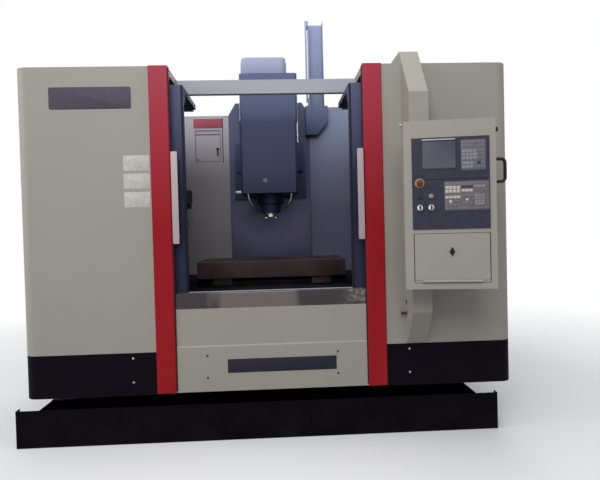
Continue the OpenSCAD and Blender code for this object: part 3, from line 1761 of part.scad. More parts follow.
// A turning selector: a round base, a stem through the fascia and a grip bar
module selector(u, z, turn) {
  translate([u, -fascia_t, z]) rotate([90, turn, 0]) {
    translate([0, 0, -stem_l + fascia_t]) cylinder(r = button_r, h = stem_l - fascia_t + 0.3);
    translate([0, 0, 0.3]) cylinder(r = 14, h = 5);
    translate([-4, -13, 5.3]) cube([8, 26, 12]);
  }
}

module mode_knob() {
  place() in_box() color("WhiteSmoke") selector(button_u[0], button_z[2], 0);
}

module key_switch() {
  place() in_box() color("WhiteSmoke") selector(button_u[1], button_z[2], 30);
}

base_casting();
leveling_feet();
column_casting();
guide_rails();
z_motor();
left_front_panel();
right_front_panel();
kick_panels();
door_posts();
lower_front_panel();
sill_strip();
left_side_panel();
right_side_panel();
left_roof();
right_roof();
door_rails();
left_rear_guard();
right_rear_guard();
rear_hatch();
chip_pans();
coolant_tank();
coolant_pump();
cable_duct();
electrical_cabinet();
cabinet_door();
cable_track_guide();
magazine_bracket();
fixed_way_covers();
door_left();
door_left_window();
door_left_handle();
door_right();
door_right_window();
door_right_handle();
saddle();
x_rails();
saddle_covers();
table();
x_cover_inner();
x_cover_mid_left();
x_cover_mid_right();
y_cover_mid();
headstock();
spindle_motor();
z_cover_upper();
spindle();
magazine_carriage();
magazine_disc();
control_box();
control_fascia();
screen_and_keys();
storage_door();
storage_latch();
pendant_handle();
e_stop();
e_stop_ring();
start_button();
stop_button();
mode_knob();
key_switch();
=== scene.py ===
"""Studio scene of a vertical CNC machining centre with open doors and a swivelling control box.

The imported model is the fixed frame. Finishes are small classes that dress the frame's nodes, and
new pieces are surfaces worked out with numpy. Lengths are metres in the frame's own axes: +X to
the operator's right, +Y from the front to the column, +Z up.
"""

import json
import logging
import math
from dataclasses import dataclass
from enum import Enum

import bpy
import numpy as np
from mathutils import Matrix, Vector

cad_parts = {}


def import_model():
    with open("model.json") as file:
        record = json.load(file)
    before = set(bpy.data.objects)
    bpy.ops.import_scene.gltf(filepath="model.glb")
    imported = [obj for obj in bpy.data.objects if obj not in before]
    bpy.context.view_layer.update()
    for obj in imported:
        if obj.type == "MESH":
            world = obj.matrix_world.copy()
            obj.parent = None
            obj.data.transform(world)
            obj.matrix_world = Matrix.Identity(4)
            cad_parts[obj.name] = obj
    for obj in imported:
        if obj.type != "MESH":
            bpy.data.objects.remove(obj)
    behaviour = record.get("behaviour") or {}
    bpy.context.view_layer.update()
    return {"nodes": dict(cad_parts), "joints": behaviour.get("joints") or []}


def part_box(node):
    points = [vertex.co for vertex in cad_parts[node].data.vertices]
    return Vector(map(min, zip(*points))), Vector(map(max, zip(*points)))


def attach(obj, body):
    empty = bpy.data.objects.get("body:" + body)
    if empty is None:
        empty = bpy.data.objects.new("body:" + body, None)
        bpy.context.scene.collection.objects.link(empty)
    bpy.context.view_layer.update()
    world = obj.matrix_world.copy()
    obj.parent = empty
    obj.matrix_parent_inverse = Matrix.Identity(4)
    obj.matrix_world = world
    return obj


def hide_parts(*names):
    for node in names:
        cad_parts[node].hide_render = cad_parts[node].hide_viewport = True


log = logging.getLogger("machining_centre")

Pair = tuple[float, float]
Triple = tuple[float, float, float]
Colour = tuple[float, float, float, float]
Socket = bpy.types.NodeSocket

ACROSS, UP = 0, 2
# The smallest corner radius, and the radius at which a turned piece ends on its axis.
SHARPEST, TIP = 0.0001, 0.0001


class Body(str, Enum):
    """Bodies of the frame that new pieces ride on."""

    FRAME = "frame"
    HEAD = "head"
    LEFT_DOOR = "left_door"
    RIGHT_DOOR = "right_door"
    LEFT_X_COVER = "left_x_cover"
    RIGHT_X_COVER = "right_x_cover"
    Y_COVER = "y_cover"
    CONTROL_BOX = "control_box"
    CABINET_DOOR = "cabinet_door"
    HATCH = "hatch"
    MODE_KNOB = "mode_knob"
    KEY_SWITCH = "key_switch"


def linear(red: int, green: int, blue: int) -> Colour:
    """A colour as seen on screen, turned to linear light.

    Args:
        red, green, blue: the screen values, from 0 to 255.

    Returns:
        The linear colour with full alpha.
    """
    seen = np.array([red, green, blue]) / 255
    value = np.where(seen <= 0.04045, seen / 12.92, ((seen + 0.055) / 1.055) ** 2.4)
    return (*value.tolist(), 1.0)


def scaled(colour: Colour, factor: float, lift: float = 0.0) -> Colour:
    """A colour made darker or lighter by a factor, and lifted by an amount."""
    return (*(min(1.0, part * factor + lift) for part in colour[:3]), 1.0)


class Tree:
    """The node tree of a material or a world."""

    def __init__(self, owner: bpy.types.Material | bpy.types.World) -> None:
        """Turns the owner's nodes on and empties its tree.

        Args:
            owner: the material or the world.
        """
        owner.use_nodes = True
        self.nodes = owner.node_tree.nodes
        self.links = owner.node_tree.links
        self.nodes.clear()

    def put(self, socket: Socket, value: object) -> None:
        """Feeds an input.

        Args:
            socket: the input.
            value: a socket to link, or a number or colour to set.
        """
        if isinstance(value, Socket):
            self.links.new(value, socket)
        else:
            socket.default_value = value

    def add(self, kind: str, result: str | int, inputs: dict[str | int, object],
            **settings: str) -> Socket | None:
        """Adds a node.

        Args:
            kind: its type, without the word ShaderNode.
            result: the output that is wanted.
            inputs: a number, a colour or a socket for each input.
            settings: the node's own options.

        Returns:
            The output, or nothing for a node that has none.
        """
        node = self.nodes.new("ShaderNode" + kind)
        for name, value in settings.items():
            setattr(node, name, value)
        for name, value in inputs.items():
            self.put(node.inputs[name], value)
        return node.outputs[result] if node.outputs else None

    def math(self, kind: str, first: object, second: object) -> Socket:
        """One arithmetic step on two sockets or numbers."""
        return self.add("Math", "Value", {0: first, 1: second}, operation=kind)

    def seen(self) -> Socket:
        """One where the camera, a gloss or a glass looks, and zero for scattered light.

        Returns:
            The socket that carries the value.
        """
        rays = self.nodes.new("ShaderNodeLightPath").outputs
        value = rays["Is Camera Ray"]
        for name in ("Is Glossy Ray", "Is Transmission Ray"):
            value = self.math("MAXIMUM", value, rays[name])
        return value


class Graph(Tree):
    """A material's tree with its shader, and short calls for what the finishes share."""

    def __init__(self, name: str) -> None:
        """Makes a material with a principled shader.

        Args:
            name: the material's name.
        """
        self.material = bpy.data.materials.new(name)
        super().__init__(self.material)
        self.output = self.nodes.new("ShaderNodeOutputMaterial")
        self.shader = self.nodes.new("ShaderNodeBsdfPrincipled")
        self.links.new(self.shader.outputs["BSDF"], self.output.inputs["Surface"])
        self.place = self.nodes.new("ShaderNodeTexCoord").outputs["Object"]

    def set(self, **values: object) -> None:
        """Feeds the shader's own sockets; a name's underscores stand for spaces."""
        for name, value in values.items():
            self.put(self.shader.inputs[name.replace("_", " ")], value)

    def stretched(self, scale: Triple) -> Socket:
        """The object's coordinates, scaled on each axis."""
        return self.add("Mapping", "Vector", {"Vector": self.place, "Scale": scale})

    def noise(self, scale: float, detail: float, where: Socket | None = None) -> Socket:
        """A noise value from 0 to 1.

        Args:
            scale: features per metre.
            detail: octaves.
            where: coordinates, the object's own if left out.

        Returns:
            The socket that carries the value.
        """
        return self.add("TexNoise", "Fac", {"Vector": where or self.place, "Scale": scale,
                                            "Detail": detail})

    def ramp(self, value: Socket, low: float, high: float) -> Socket:
        """A value stretched so that low becomes 0 and high becomes 1."""
        return self.add("MapRange", "Result", {"Value": value, "From Min": low, "From Max": high})

    def span(self, value: Socket, low: float, high: float) -> Socket:
        """A value from 0 to 1 turned to one from low to high."""
        return self.add("MapRange", "Result", {"Value": value, "To Min": low, "To Max": high})

    def mix(self, share: Socket, first: object, second: object) -> Socket:
        """A colour between two, by a share from 0 to 1."""
        return self.add("Mix", 2, {"Factor": share, 6: first, 7: second}, data_type="RGBA")

    def coordinate(self, axis: int) -> Socket:
        """One of the object's coordinates, in metres."""
        return self.add("SeparateXYZ", axis, {"Vector": self.place})

    def bump(self, value: Socket, strength: float, depth: float) -> None:
        """Adds a bump to the shader's normal.

        Args:
            value: the relief, from 0 to 1.
            strength: share of the bump that shows.
            depth: height of the bump in metres.
        """
        self.set(Normal=self.add("Bump", "Normal", {"Height": value, "Strength": strength,
                                                    "Distance": depth}))


@dataclass(frozen=True)
class Finish:
    """The look of a surface, with the name of its material."""

    name: str

    def material(self) -> bpy.types.Material:
        """Builds the finish's material.

        Returns:
            The material.
        """
        graph = Graph(self.name)
        self.draw(graph)
        return graph.material

    def draw(self, graph: Graph) -> None:
        """Fills the material's tree; every kind of finish has its own."""
        raise NotImplementedError


@dataclass(frozen=True)
class Paint(Finish):
    """Powder coat or enamel: a fine peel, a slow mottle, dust low down, and painted light high up:
    the film is a paler haze that rises with height.
    """

    colour: Colour
    roughness: float = 0.5
    mottle: float = 0.06
    peel: float = 0.25
    shine: float = 0.2
    dust: float = 0.0
    dust_top: float = 0.5
    # film is painted light: a paler haze that the paint turns to higher up, between the two
    # heights below; it is not a real film.
    film: Colour | None = None
    painted_haze_low: float = 1.35
    painted_haze_high: float = 2.45

    def draw(self, graph: Graph) -> None:
        """Lays the painted haze (the film) and the dust over the mottled paint.

        Args:
            graph: the material's tree.
        """
        slow = graph.ramp(graph.noise(scale=1.7, detail=4), low=0.3, high=0.7)
        colour = graph.mix(slow, scaled(self.colour, 1 - self.mottle),
                           scaled(self.colour, 1 + self.mottle))
        # Painted light: the paint grows paler towards the top, standing in for haze and glare.
        if self.film is not None:
            rise = graph.ramp(graph.coordinate(UP), self.painted_haze_low, self.painted_haze_high)
            colour = graph.mix(rise, colour, self.film)
        if self.dust > 0:
            fall = graph.ramp(graph.coordinate(UP), self.dust_top, 0.0)
            patch = graph.ramp(graph.noise(scale=9, detail=5), low=0.35, high=0.75)
            share = graph.math("MULTIPLY", graph.math("MULTIPLY", fall, patch), self.dust)
            colour = graph.mix(share, colour, linear(126, 118, 104))
        rough = graph.span(graph.noise(scale=14, detail=3), self.roughness - 0.07,
                           self.roughness + 0.09)
        graph.set(Base_Color=colour, Roughness=rough, Specular_IOR_Level=self.shine)
        graph.bump(graph.noise(scale=900, detail=2), self.peel, depth=0.0003)


@dataclass(frozen=True)
class Metal(Finish):
    """Bare metal with a grain along one axis, and smudges that are stretched like the patch."""

    colour: Colour
    roughness: float
    grain: Triple
    depth: float = 0.00012
    stain: float = 0.12
    stain_colour: Colour = (0.12, 0.10, 0.08, 1.0)
    patch: Triple = (7, 7, 7)

    def draw(self, graph: Graph) -> None:
        """Lays the smudges over the grain.

        Args:
            graph: the material's tree.
        """
        lines = graph.noise(1.0, detail=4, where=graph.stretched(self.grain))
        cloud = graph.noise(1.0, detail=5, where=graph.stretched(self.patch))
        smudge = graph.ramp(cloud, low=0.42, high=0.72)
        share = graph.math("MULTIPLY", smudge, self.stain)
        spread = graph.math("ADD", graph.math("MULTIPLY", lines, 0.16), smudge)
        graph.set(Metallic=1.0, Base_Color=graph.mix(share, self.colour, self.stain_colour),
                  Roughness=graph.span(spread, self.roughness - 0.08, self.roughness + 0.14))
        graph.bump(lines, 0.35, self.depth)


@dataclass(frozen=True)
class ReflectionBandSheet(Finish):
    """Polished sheet with painted reflections: a bright reflected band in its middle, a darker
    reflection beside it and a bright reflection broken into flecks at one end.
    """

    bright_reflection: Colour
    dark_reflection: Colour
    bright_end_reflection: Colour
    bright_band: Pair
    bright_end_from: float
    edge: float = 0.06
    bright_end_edge: float = 0.05

    def draw(self, graph: Graph) -> None:
        """Mixes the three painted reflections along the sheet, with uneven borders.

        Args:
            graph: the material's tree.
        """
        cloud = graph.noise(1.0, detail=4, where=graph.stretched((14, 1, 4)))
        shift = graph.math("MULTIPLY", graph.math("SUBTRACT", cloud, 0.5), self.edge * 3)
        place = graph.math("ADD", graph.coordinate(ACROSS), shift)
        # Painted reflection: bright inside the band, darker beside it.
        left = graph.ramp(place, self.bright_band[0] - self.edge, self.bright_band[0])
        right = graph.ramp(place, self.bright_band[1] + self.edge, self.bright_band[1])
        colour = graph.mix(graph.math("MULTIPLY", left, right), self.dark_reflection, self.bright_reflection)
        # Painted reflection: brighter from the start of the right end onwards, broken into flecks.
        end = graph.ramp(place, self.bright_end_from, self.bright_end_from + self.bright_end_edge)
        flecks = graph.ramp(graph.noise(scale=48, detail=6), low=0.40, high=0.75)
        colour = graph.mix(graph.math("MULTIPLY", end, flecks), colour, self.bright_end_reflection)
        lines = graph.noise(1.0, detail=4, where=graph.stretched((5, 260, 260)))
        rough = graph.span(graph.math("ADD", end, lines), low=0.22, high=0.42)
        graph.set(Metallic=1.0, Base_Color=colour, Roughness=rough)
        graph.bump(lines, 0.3, depth=0.00008)


@dataclass(frozen=True)
class Casting(Finish):
    """Painted or oiled cast iron with the sand mould's grain."""

    colour: Colour
    film: Colour
    roughness: float = 0.5
    metallic: float = 0.0
    grain: float = 260.0
    depth: float = 0.0006
    shine: float = 0.25

    def draw(self, graph: Graph) -> None:
        """Lays a patchy film over the casting.

        Args:
            graph: the material's tree.
        """
        patch = graph.ramp(graph.noise(scale=5, detail=6), low=0.35, high=0.7)
        graph.set(Metallic=self.metallic, Specular_IOR_Level=self.shine,
                  Base_Color=graph.mix(patch, self.colour, self.film),
                  Roughness=graph.span(patch, self.roughness + 0.12, self.roughness - 0.12))
        graph.bump(graph.noise(self.grain, detail=3), 0.5, self.depth)


@dataclass(frozen=True)
class Moulding(Finish):
    """Moulded plastic or rubber with a fine grain."""

    colour: Colour
    roughness: float = 0.5
    coat: float = 0.0
    grain: float = 1400.0

    def draw(self, graph: Graph) -> None:
        """Lays pale wear over the moulding's colour.

        Args:
            graph: the material's tree.
        """
        wear = graph.ramp(graph.noise(scale=40, detail=4), low=0.4, high=0.8)
        worn = scaled(self.colour, 1.25, lift=0.004)
        rough = graph.span(graph.noise(scale=90, detail=3), self.roughness - 0.06,
                           self.roughness + 0.08)
        graph.set(Coat_Weight=self.coat, Coat_Roughness=0.08, Specular_IOR_Level=0.2,
                  Base_Color=graph.mix(wear, self.colour, worn), Roughness=rough)
        graph.bump(graph.noise(self.grain, detail=2), 0.2, depth=0.0002)


@dataclass(frozen=True)
class Glazing(Finish):
    """Clear safety glass with faint smears."""

    tint: Colour

    def draw(self, graph: Graph) -> None:
        """Roughens the glass where it is smeared.

        Args:
            graph: the material's tree.
        """
        smear = graph.ramp(graph.noise(scale=6, detail=5), low=0.45, high=0.8)
        graph.set(Base_Color=self.tint, Transmission_Weight=1.0, IOR=1.45,
                  Roughness=graph.span(smear, low=0.02, high=0.14))


@dataclass(frozen=True)
class PaintedReflectionScreen(Finish):
    """An unlit screen with a painted reflection: a dark panel that is paler at its bottom than at
    its top.
    """

    low: Colour
    high: Colour
    bottom: float
    top: float

    def draw(self, graph: Graph) -> None:
        """Mixes both colours of the painted reflection by height, with a faint cloud.

        Args:
            graph: the material's tree.
        """
        rise = graph.ramp(graph.coordinate(UP), self.bottom, self.top)
        cloud = graph.math("MULTIPLY", graph.noise(scale=18, detail=2), 0.3)
        share = graph.math("ADD", graph.math("MULTIPLY", rise, 0.8), cloud)
        graph.set(Roughness=0.3, Specular_IOR_Level=0.12,
                  Base_Color=graph.mix(share, self.low, self.high))


CREAM = Paint("cream_powder_coat", linear(148, 145, 136), mottle=0.03, peel=0.3, shine=0.35,
              dust=0.12, dust_top=0.95)
# Painted light: each film colour below is a paler haze painted on towards the top; it is not a
# film on the paint.
RED = Paint("red_powder_coat", linear(144, 19, 28), 0.36, peel=0.15, shine=0.15, dust=0.06,
            dust_top=0.6, film=linear(162, 52, 70), painted_haze_low=1.2, painted_haze_high=2.15)
FADED_RED = Paint("faded_red_paint", linear(150, 72, 86), mottle=0.10, peel=0.2, shine=0.15)
NAVY = Paint("navy_powder_coat", linear(30, 35, 60), 0.46, mottle=0.08,
             film=linear(94, 101, 136), painted_haze_low=1.4, painted_haze_high=2.25)
BLACK = Paint("black_powder_coat", linear(15, 12, 19), mottle=0.12, peel=0.3, shine=0.03,
              dust=0.03)
TANK_BLACK = Paint("tank_black_paint", linear(10, 8, 13), mottle=0.12, peel=0.3, shine=0.03,
                   dust=0.03, dust_top=0.24)
PALE_GREY = Paint("pale_grey_paint", linear(140, 136, 142), 0.55, mottle=0.05,
                  film=linear(176, 172, 178), painted_haze_low=1.6, painted_haze_high=2.1)
SLATE = Paint("slate_blue_paint", linear(104, 106, 128), 0.55,
              film=linear(140, 148, 174), painted_haze_low=1.3, painted_haze_high=2.1)
BEAM_GREY = Paint("beam_grey_paint", linear(160, 162, 170), 0.46, mottle=0.04, peel=0.2,
                  shine=0.3)
# Painted light: the black motor paint turns near white at its top, standing in for glare.
MOTOR_BLACK = Paint("motor_black_paint", linear(52, 54, 66), mottle=0.12, peel=0.4,
                    film=linear(172, 178, 206), painted_haze_low=2.12, painted_haze_high=2.40)
DARK_STEEL = Paint("dark_steel_paint", linear(50, 53, 70), 0.48, mottle=0.08, peel=0.3,
                   film=linear(160, 170, 200), painted_haze_low=1.75, painted_haze_high=2.65)
PUMP_BLUE = Paint("pump_blue_enamel", linear(54, 88, 128), 0.35, mottle=0.08, peel=0.2,
                  shine=0.5, dust=0.2, dust_top=0.3)

PAN = Metal("oily_chip_pan", linear(44, 40, 46), 0.42, (60, 60, 60), 0.0001, stain=0.5,
            stain_colour=linear(22, 20, 24))
COVER = Metal("oiled_way_cover", linear(76, 74, 94), 0.42, (3, 200, 200), 0.00004, stain=0.3,
              stain_colour=linear(56, 54, 68), patch=(2.2, 2.2, 2.2))
RAIL = Metal("ground_rail_steel", linear(160, 160, 160), 0.26, (3, 400, 400))
# Painted shade: the X rails are rail steel made near black for the shade under the table.
SHADED_RAIL = Metal("oiled_rail_steel", linear(25, 21, 29), 0.4, (3, 300, 300), 0.00003)
ZINC = Metal("zinc_plated_steel", linear(150, 150, 146), 0.40, (60, 60, 60))
BAR = Metal("satin_anodised_bar", linear(150, 138, 141), 0.46, (300, 300, 4), 0.00006,
            stain=0.10)
SPINDLE = Metal("ground_spindle_steel", linear(196, 194, 192), 0.22, (40, 40, 500))
DISC = Metal("machined_disc", linear(170, 170, 172), 0.34, (120, 120, 10))
# Painted reflection: the sill's bright band, darker sides and bright flecked right end stand in
# for reflections.
SILL = ReflectionBandSheet("polished_sill", bright_reflection=linear(102, 95, 94), dark_reflection=linear(66, 61, 63),
                  bright_end_reflection=linear(132, 127, 126), bright_band=(-0.240, 0.140), bright_end_from=0.432)

# Painted shade: the steel covers under the table are made near black for the shade under it.
SHADED_COVER = Casting("oiled_saddle_cover", linear(30, 27, 34), linear(20, 18, 23), 0.8, grain=200,
                depth=0.00002, shine=0.02)
TABLE = Casting("oiled_table_iron", linear(62, 47, 46), linear(36, 27, 29), 0.38, metallic=0.35,
                grain=420, depth=0.0002)
BASE = Casting("base_casting_paint", linear(44, 44, 52), linear(34, 34, 42))
# Painted light: the column's navy is made far paler than the head's, standing in for light where
# it lies in the enclosure's shadow.
LIT_COLUMN = Casting("column_casting_paint", linear(82, 88, 118), linear(70, 76, 106))
SADDLE = Casting("saddle_casting_paint", linear(36, 36, 48), linear(26, 26, 34), 0.6,
                 depth=0.0003, shine=0.08)

FASCIA = Moulding("black_fascia_film", linear(45, 44, 60), 0.40, grain=1800)
SEAL = Moulding("dark_seal_strip", linear(58, 56, 60), 0.6)
RUBBER = Moulding("black_rubber", linear(18, 18, 20), 0.7)
HANDLE = Moulding("black_handle_plastic", linear(18, 18, 20), 0.40)
STOP_RED = Moulding("stop_red_plastic", linear(92, 38, 30), 0.34, coat=0.1)
RING_YELLOW = Moulding("ring_yellow_plastic", linear(146, 128, 84), 0.4, coat=0.05)
PINK_LENS = Moulding("pale_red_lens", linear(142, 122, 134), 0.32, coat=0.2)
DARK_LENS = Moulding("dark_red_lens", linear(40, 26, 36), 0.32, coat=0.2)
WHITE = Moulding("white_plastic", linear(206, 206, 208), 0.34, coat=0.1)
KEY_PALE = Moulding("pale_key_film", linear(176, 172, 170))
KEY_GREY = Moulding("grey_key_film", linear(128, 126, 132))
KEY_DIM = Moulding("dim_key_film", linear(104, 102, 108))
KEY_BROWN = Moulding("operator_field_film", linear(100, 94, 94), 0.45)
KEY_FIELD = Moulding("key_field_film", linear(94, 93, 103), 0.45)
SIGN_DARK = Moulding("dark_sign_plate", linear(64, 61, 73))
SIGN_NAVY = Moulding("navy_sign_plate", linear(27, 27, 40))
LABEL_PALE = Moulding("pale_plain_label", linear(178, 174, 168))
PANE = Glazing("door_glass", (0.86, 0.93, 0.92, 1.0))

WORN_BY: dict[Finish, str] = {
    CREAM: "left_front_panel right_front_panel lower_front_panel left_side_panel "
           "right_side_panel left_roof right_roof cable_duct electrical_cabinet cabinet_door "
           "control_box storage_door",
    RED: "door_posts",
    NAVY: "door_left door_right headstock",
    BLACK: "kick_panels",
    TANK_BLACK: "coolant_tank",
    PALE_GREY: "left_rear_guard rear_hatch",
    SLATE: "right_rear_guard",
    BEAM_GREY: "door_rails",
    MOTOR_BLACK: "z_motor spindle_motor",
    DARK_STEEL: "cable_track_guide magazine_bracket magazine_carriage",
    PUMP_BLUE: "coolant_pump",
    PAN: "chip_pans",
    COVER: "fixed_way_covers z_cover_upper",
    RAIL: "guide_rails",
    SHADED_RAIL: "x_rails",
    ZINC: "leveling_feet",
    BAR: "door_left_handle door_right_handle",
    SPINDLE: "spindle",
    DISC: "magazine_disc",
    SILL: "sill_strip",
    SHADED_COVER: "saddle_covers x_cover_inner x_cover_mid_left x_cover_mid_right y_cover_mid",
    TABLE: "table",
    BASE: "base_casting",
    LIT_COLUMN: "column_casting",
    SADDLE: "saddle",
    FASCIA: "control_fascia",
    KEY_FIELD: "screen_and_keys",
    HANDLE: "storage_latch pendant_handle",
    STOP_RED: "e_stop",
    RING_YELLOW: "e_stop_ring",
    PINK_LENS: "start_button",
    DARK_LENS: "stop_button",
    WHITE: "mode_knob key_switch",
    PANE: "door_left_window door_right_window",
}
NODE_FINISH = {node: finish for finish, nodes in WORN_BY.items() for node in nodes.split()}


class Finishes:
    """Builds each finish once and hands out its material."""

    def __init__(self) -> None:
        """Starts with no material built."""
        self._built: dict[str, bpy.types.Material] = {}

    def of(self, finish: Finish) -> bpy.types.Material:
        """The material of a finish, built the first time it is asked for.

        Args:
            finish: the finish.

        Returns:
            The material.
        """
        if finish.name not in self._built:
            self._built[finish.name] = finish.material()
        return self._built[finish.name]

    def dress(self, nodes: dict[str, bpy.types.Object]) -> None:
        """Gives every node of the frame its finish.

        Args:
            nodes: the frame's objects by name.
        """
        for name, node in nodes.items():
            node.data.materials.clear()
            node.data.materials.append(self.of(NODE_FINISH[name]))
            log.info("%s wears %s", name, NODE_FINISH[name].name)


@dataclass
class Shape:
    """Points and faces of a surface before it becomes a mesh."""

    points: np.ndarray
    faces: list[tuple[int, ...]]

    def copies(self, offsets: np.ndarray | list) -> "Shape":
        """Repeats the shape.

        Args:
            offsets: the place of each copy, from the shape's own.

        Returns:
            The copies as one shape.
        """
        count = len(self.points)
        points = (self.points[None] + np.asarray(offsets)[:, None]).reshape(-1, 3)
        faces = [tuple(i + k * count for i in face)
                 for k in range(len(offsets)) for face in self.faces]
        return Shape(points, faces)


def joined(shapes: list[Shape]) -> Shape:
    """Puts several shapes together.

    Args:
        shapes: the shapes.

    Returns:
        The shapes as one.
    """
    faces: list[tuple[int, ...]] = []
    start = 0
    for shape in shapes:
        faces += [tuple(i + start for i in face) for face in shape.faces]
        start += len(shape.points)
    return Shape(np.concatenate([shape.points for shape in shapes]), faces)


def loft(rings: list[np.ndarray] | np.ndarray, looped: bool = False) -> Shape:
    """A surface over rings of points.

    Ring i and ring i + 1 are joined by one quad for each pair of neighbouring points. Rings that
    run anticlockwise, seen against the direction in which they follow each other, give outward
    faces.

    Args:
        rings: the rings, of shape (rings, points, 3).
        looped: joins the last ring to the first; else flat faces close both ends.

    Returns:
        The surface.
    """
    rings = np.asarray(rings)
    count, width = rings.shape[:2]
    index = np.arange(count * width).reshape(count, width)
    upper = np.roll(index, -1, axis=0) if looped else index[1:]
    lower = index if looped else index[:-1]
    quads = np.stack([lower, np.roll(lower, -1, 1), np.roll(upper, -1, 1), upper], -1)
    faces = [tuple(quad) for quad in quads.reshape(-1, 4).tolist()]
    if not looped:
        faces += [tuple(index[0][::-1].tolist()), tuple(index[-1].tolist())]
    return Shape(rings.reshape(-1, 3), faces)


def circle(steps: int, start: float = 0.0) -> np.ndarray:
    """Points (cos a, sin a) of the unit circle, a going once round from start, in radians."""
    angle = start + np.arange(steps) * 2 * math.pi / steps
    return np.stack([np.cos(angle), np.sin(angle)], -1)


def rounded(width: float, height: float, radius: float, steps: int = 6) -> np.ndarray:
    """A rectangle with round corners, anticlockwise round its centre.

    Corner k is the circle of the radius round its own centre, from angle k * 90 to k * 90 + 90
    degrees, and the straight sides join the corners.

    Args:
        width, height: overall size.
        radius: corner radius.
        steps: quads round one corner.

    Returns:
        Array of shape (4 * (steps + 1), 2).
    """
    angle = np.linspace(0, math.pi / 2, steps + 1)
    turns = (np.arange(4)[:, None] * math.pi / 2 + angle[None]).reshape(-1)
    sign_x = np.repeat([1, -1, -1, 1], steps + 1)
    sign_y = np.repeat([1, 1, -1, -1], steps + 1)
    return np.stack([sign_x * (width / 2 - radius) + radius * np.cos(turns),
                     sign_y * (height / 2 - radius) + radius * np.sin(turns)], -1)


@dataclass(frozen=True)
class Plane:
    """A flat face that pieces sit on, by two unit directions across it and up it."""

    origin: np.ndarray
    across: np.ndarray
    up: np.ndarray

    @property
    def out(self) -> np.ndarray:
        """The direction out of the plane."""
        return np.cross(self.across, self.up)

    def ring(self, outline: np.ndarray, centre: Pair, out: float) -> np.ndarray:
        """An outline laid on the plane.

        Args:
            outline: points (across, up).
            centre: where the outline's origin goes.
            out: distance in front of the plane.

        Returns:
            The points in the frame.
        """
        spots = outline + np.asarray(centre)
        flat = spots[:, 0:1] * self.across + spots[:, 1:2] * self.up
        return self.origin + flat + out * self.out

    def plate(self, centre: Pair, size: Pair, radius: float, height: float, base: float = 0.0,
              bevel: float = 0.0008) -> Shape:
        """A raised plate with round corners and a bevelled front edge.

        Args:
            centre: its middle on the plane.
            size: width and height.
            radius: corner radius.
            height: how far it stands out.
            base: distance of its back from the plane.
            bevel: width of the bevel.

        Returns:
            The plate.
        """
        front = base + height
        steps = ((0.0, base), (0.0, front - bevel), (0.3 * bevel, front - 0.3 * bevel),
                 (bevel, front))
        return loft([self.inset(centre, size, radius, inset, out) for inset, out in steps])

    def inset(self, centre: Pair, size: Pair, radius: float, inset: float,
              out: float) -> np.ndarray:
        """The outline of a rectangle with round corners, drawn in and laid on the plane.

        Args:
            centre: its middle on the plane.
            size: width and height before it is drawn in.
            radius: corner radius before it is drawn in.
            inset: how far it is drawn in on every side.
            out: distance in front of the plane.

        Returns:
            The points in the frame.
        """
        outline = rounded(size[0] - 2 * inset, size[1] - 2 * inset, max(radius - inset, SHARPEST))
        return self.ring(outline, centre, out)

    def frame(self, centre: Pair, size: Pair, radius: float, section: list[Pair]) -> Shape:
        """A closed frame: a section carried round a rectangle with round corners.

        Each section point (inset, out) becomes one loop of the outline, drawn in by the inset.

        Args:
            centre: the frame's middle on the plane.
            size: outer width and height.
            radius: outer corner radius.
            section: closed section, from the outer back edge forwards and inwards.

        Returns:
            The frame.
        """
        return loft([self.inset(centre, size, radius, inset, out) for inset, out in section],
                    looped=True)

    def turned(self, profile: list[Pair], steps: int, centre: Pair = (0, 0),
               looped: bool = False) -> Shape:
        """A turned piece or a ring whose axis stands on the plane.

        Each profile point (radius, distance out) becomes a circle of that radius.

        Args:
            profile: points from the plane outwards, or a ring's closed section, from its outer
                back edge forwards and inwards.
            steps: points round the axis.
            centre: the axis's place on the plane.
            looped: makes a ring.

        Returns:
            The turned piece.
        """
        return loft([self.ring(circle(steps) * radius, centre, out) for radius, out in profile],
                    looped)


def tube(path: np.ndarray, radius: float, steps: int) -> Shape:
    """A round tube along a path, its rings turned least from one to the next.

    Args:
        path: points of shape (n, 3).
        radius: the tube's radius.
        steps: points round the tube.

    Returns:
        The tube with closed ends.
    """
    ways = np.gradient(path, axis=0)
    ways /= np.linalg.norm(ways, axis=1, keepdims=True)
    skew = [0.31, 0.52, 0.8]
    side = np.cross(ways[0], skew)
    sides = []
    for way in ways:
        side = side - way * side.dot(way)
        side = side / np.linalg.norm(side)
        sides.append(side)
    sides = np.array(sides)
    rise = np.cross(ways, sides)
    ring = circle(steps)[None] * radius
    return loft(path[:, None] + ring[..., 0:1] * sides[:, None] + ring[..., 1:2] * rise[:, None])


@dataclass(frozen=True)
class Box:
    """The corners of a CAD node at rest."""

    low: Vector
    high: Vector

    @classmethod
    def of(cls, node: str) -> "Box":
        """The box of one node."""
        return cls(*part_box(node))

    @property
    def middle(self) -> Vector:
        """The box's centre."""
        return (self.low + self.high) / 2

    @property
    def size(self) -> Vector:
        """The box's width, depth and height."""
        return self.high - self.low


class Side(Enum):
    """The ways that a flat face looks, each with its directions across and up."""

    FRONT = ((1, 0, 0), (0, 0, 1))
    BACK = ((-1, 0, 0), (0, 0, 1))
    LEFT = ((0, -1, 0), (0, 0, 1))
    RIGHT = ((0, 1, 0), (0, 0, 1))
    TOP = ((1, 0, 0), (0, 1, 0))
    UNDER = ((-1, 0, 0), (0, 1, 0))

    def at(self, place: float) -> Plane:
        """The plane that looks this way and cuts its own axis at a place."""
        across, up = (np.array(part, float) for part in self.value)
        return Plane(abs(np.cross(across, up)) * place, across, up)

    def of(self, node: str, out: float = 0.0) -> Plane:
        """The plane of a node's outermost face on this side.

        Args:
            node: the CAD node.
            out: distance in front of that face.

        Returns:
            The plane.
        """
        way = self.at(0.0).out
        reach = max(float(way @ np.array(corner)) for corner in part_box(node))
        return self.at(float(way.sum()) * (reach + out))


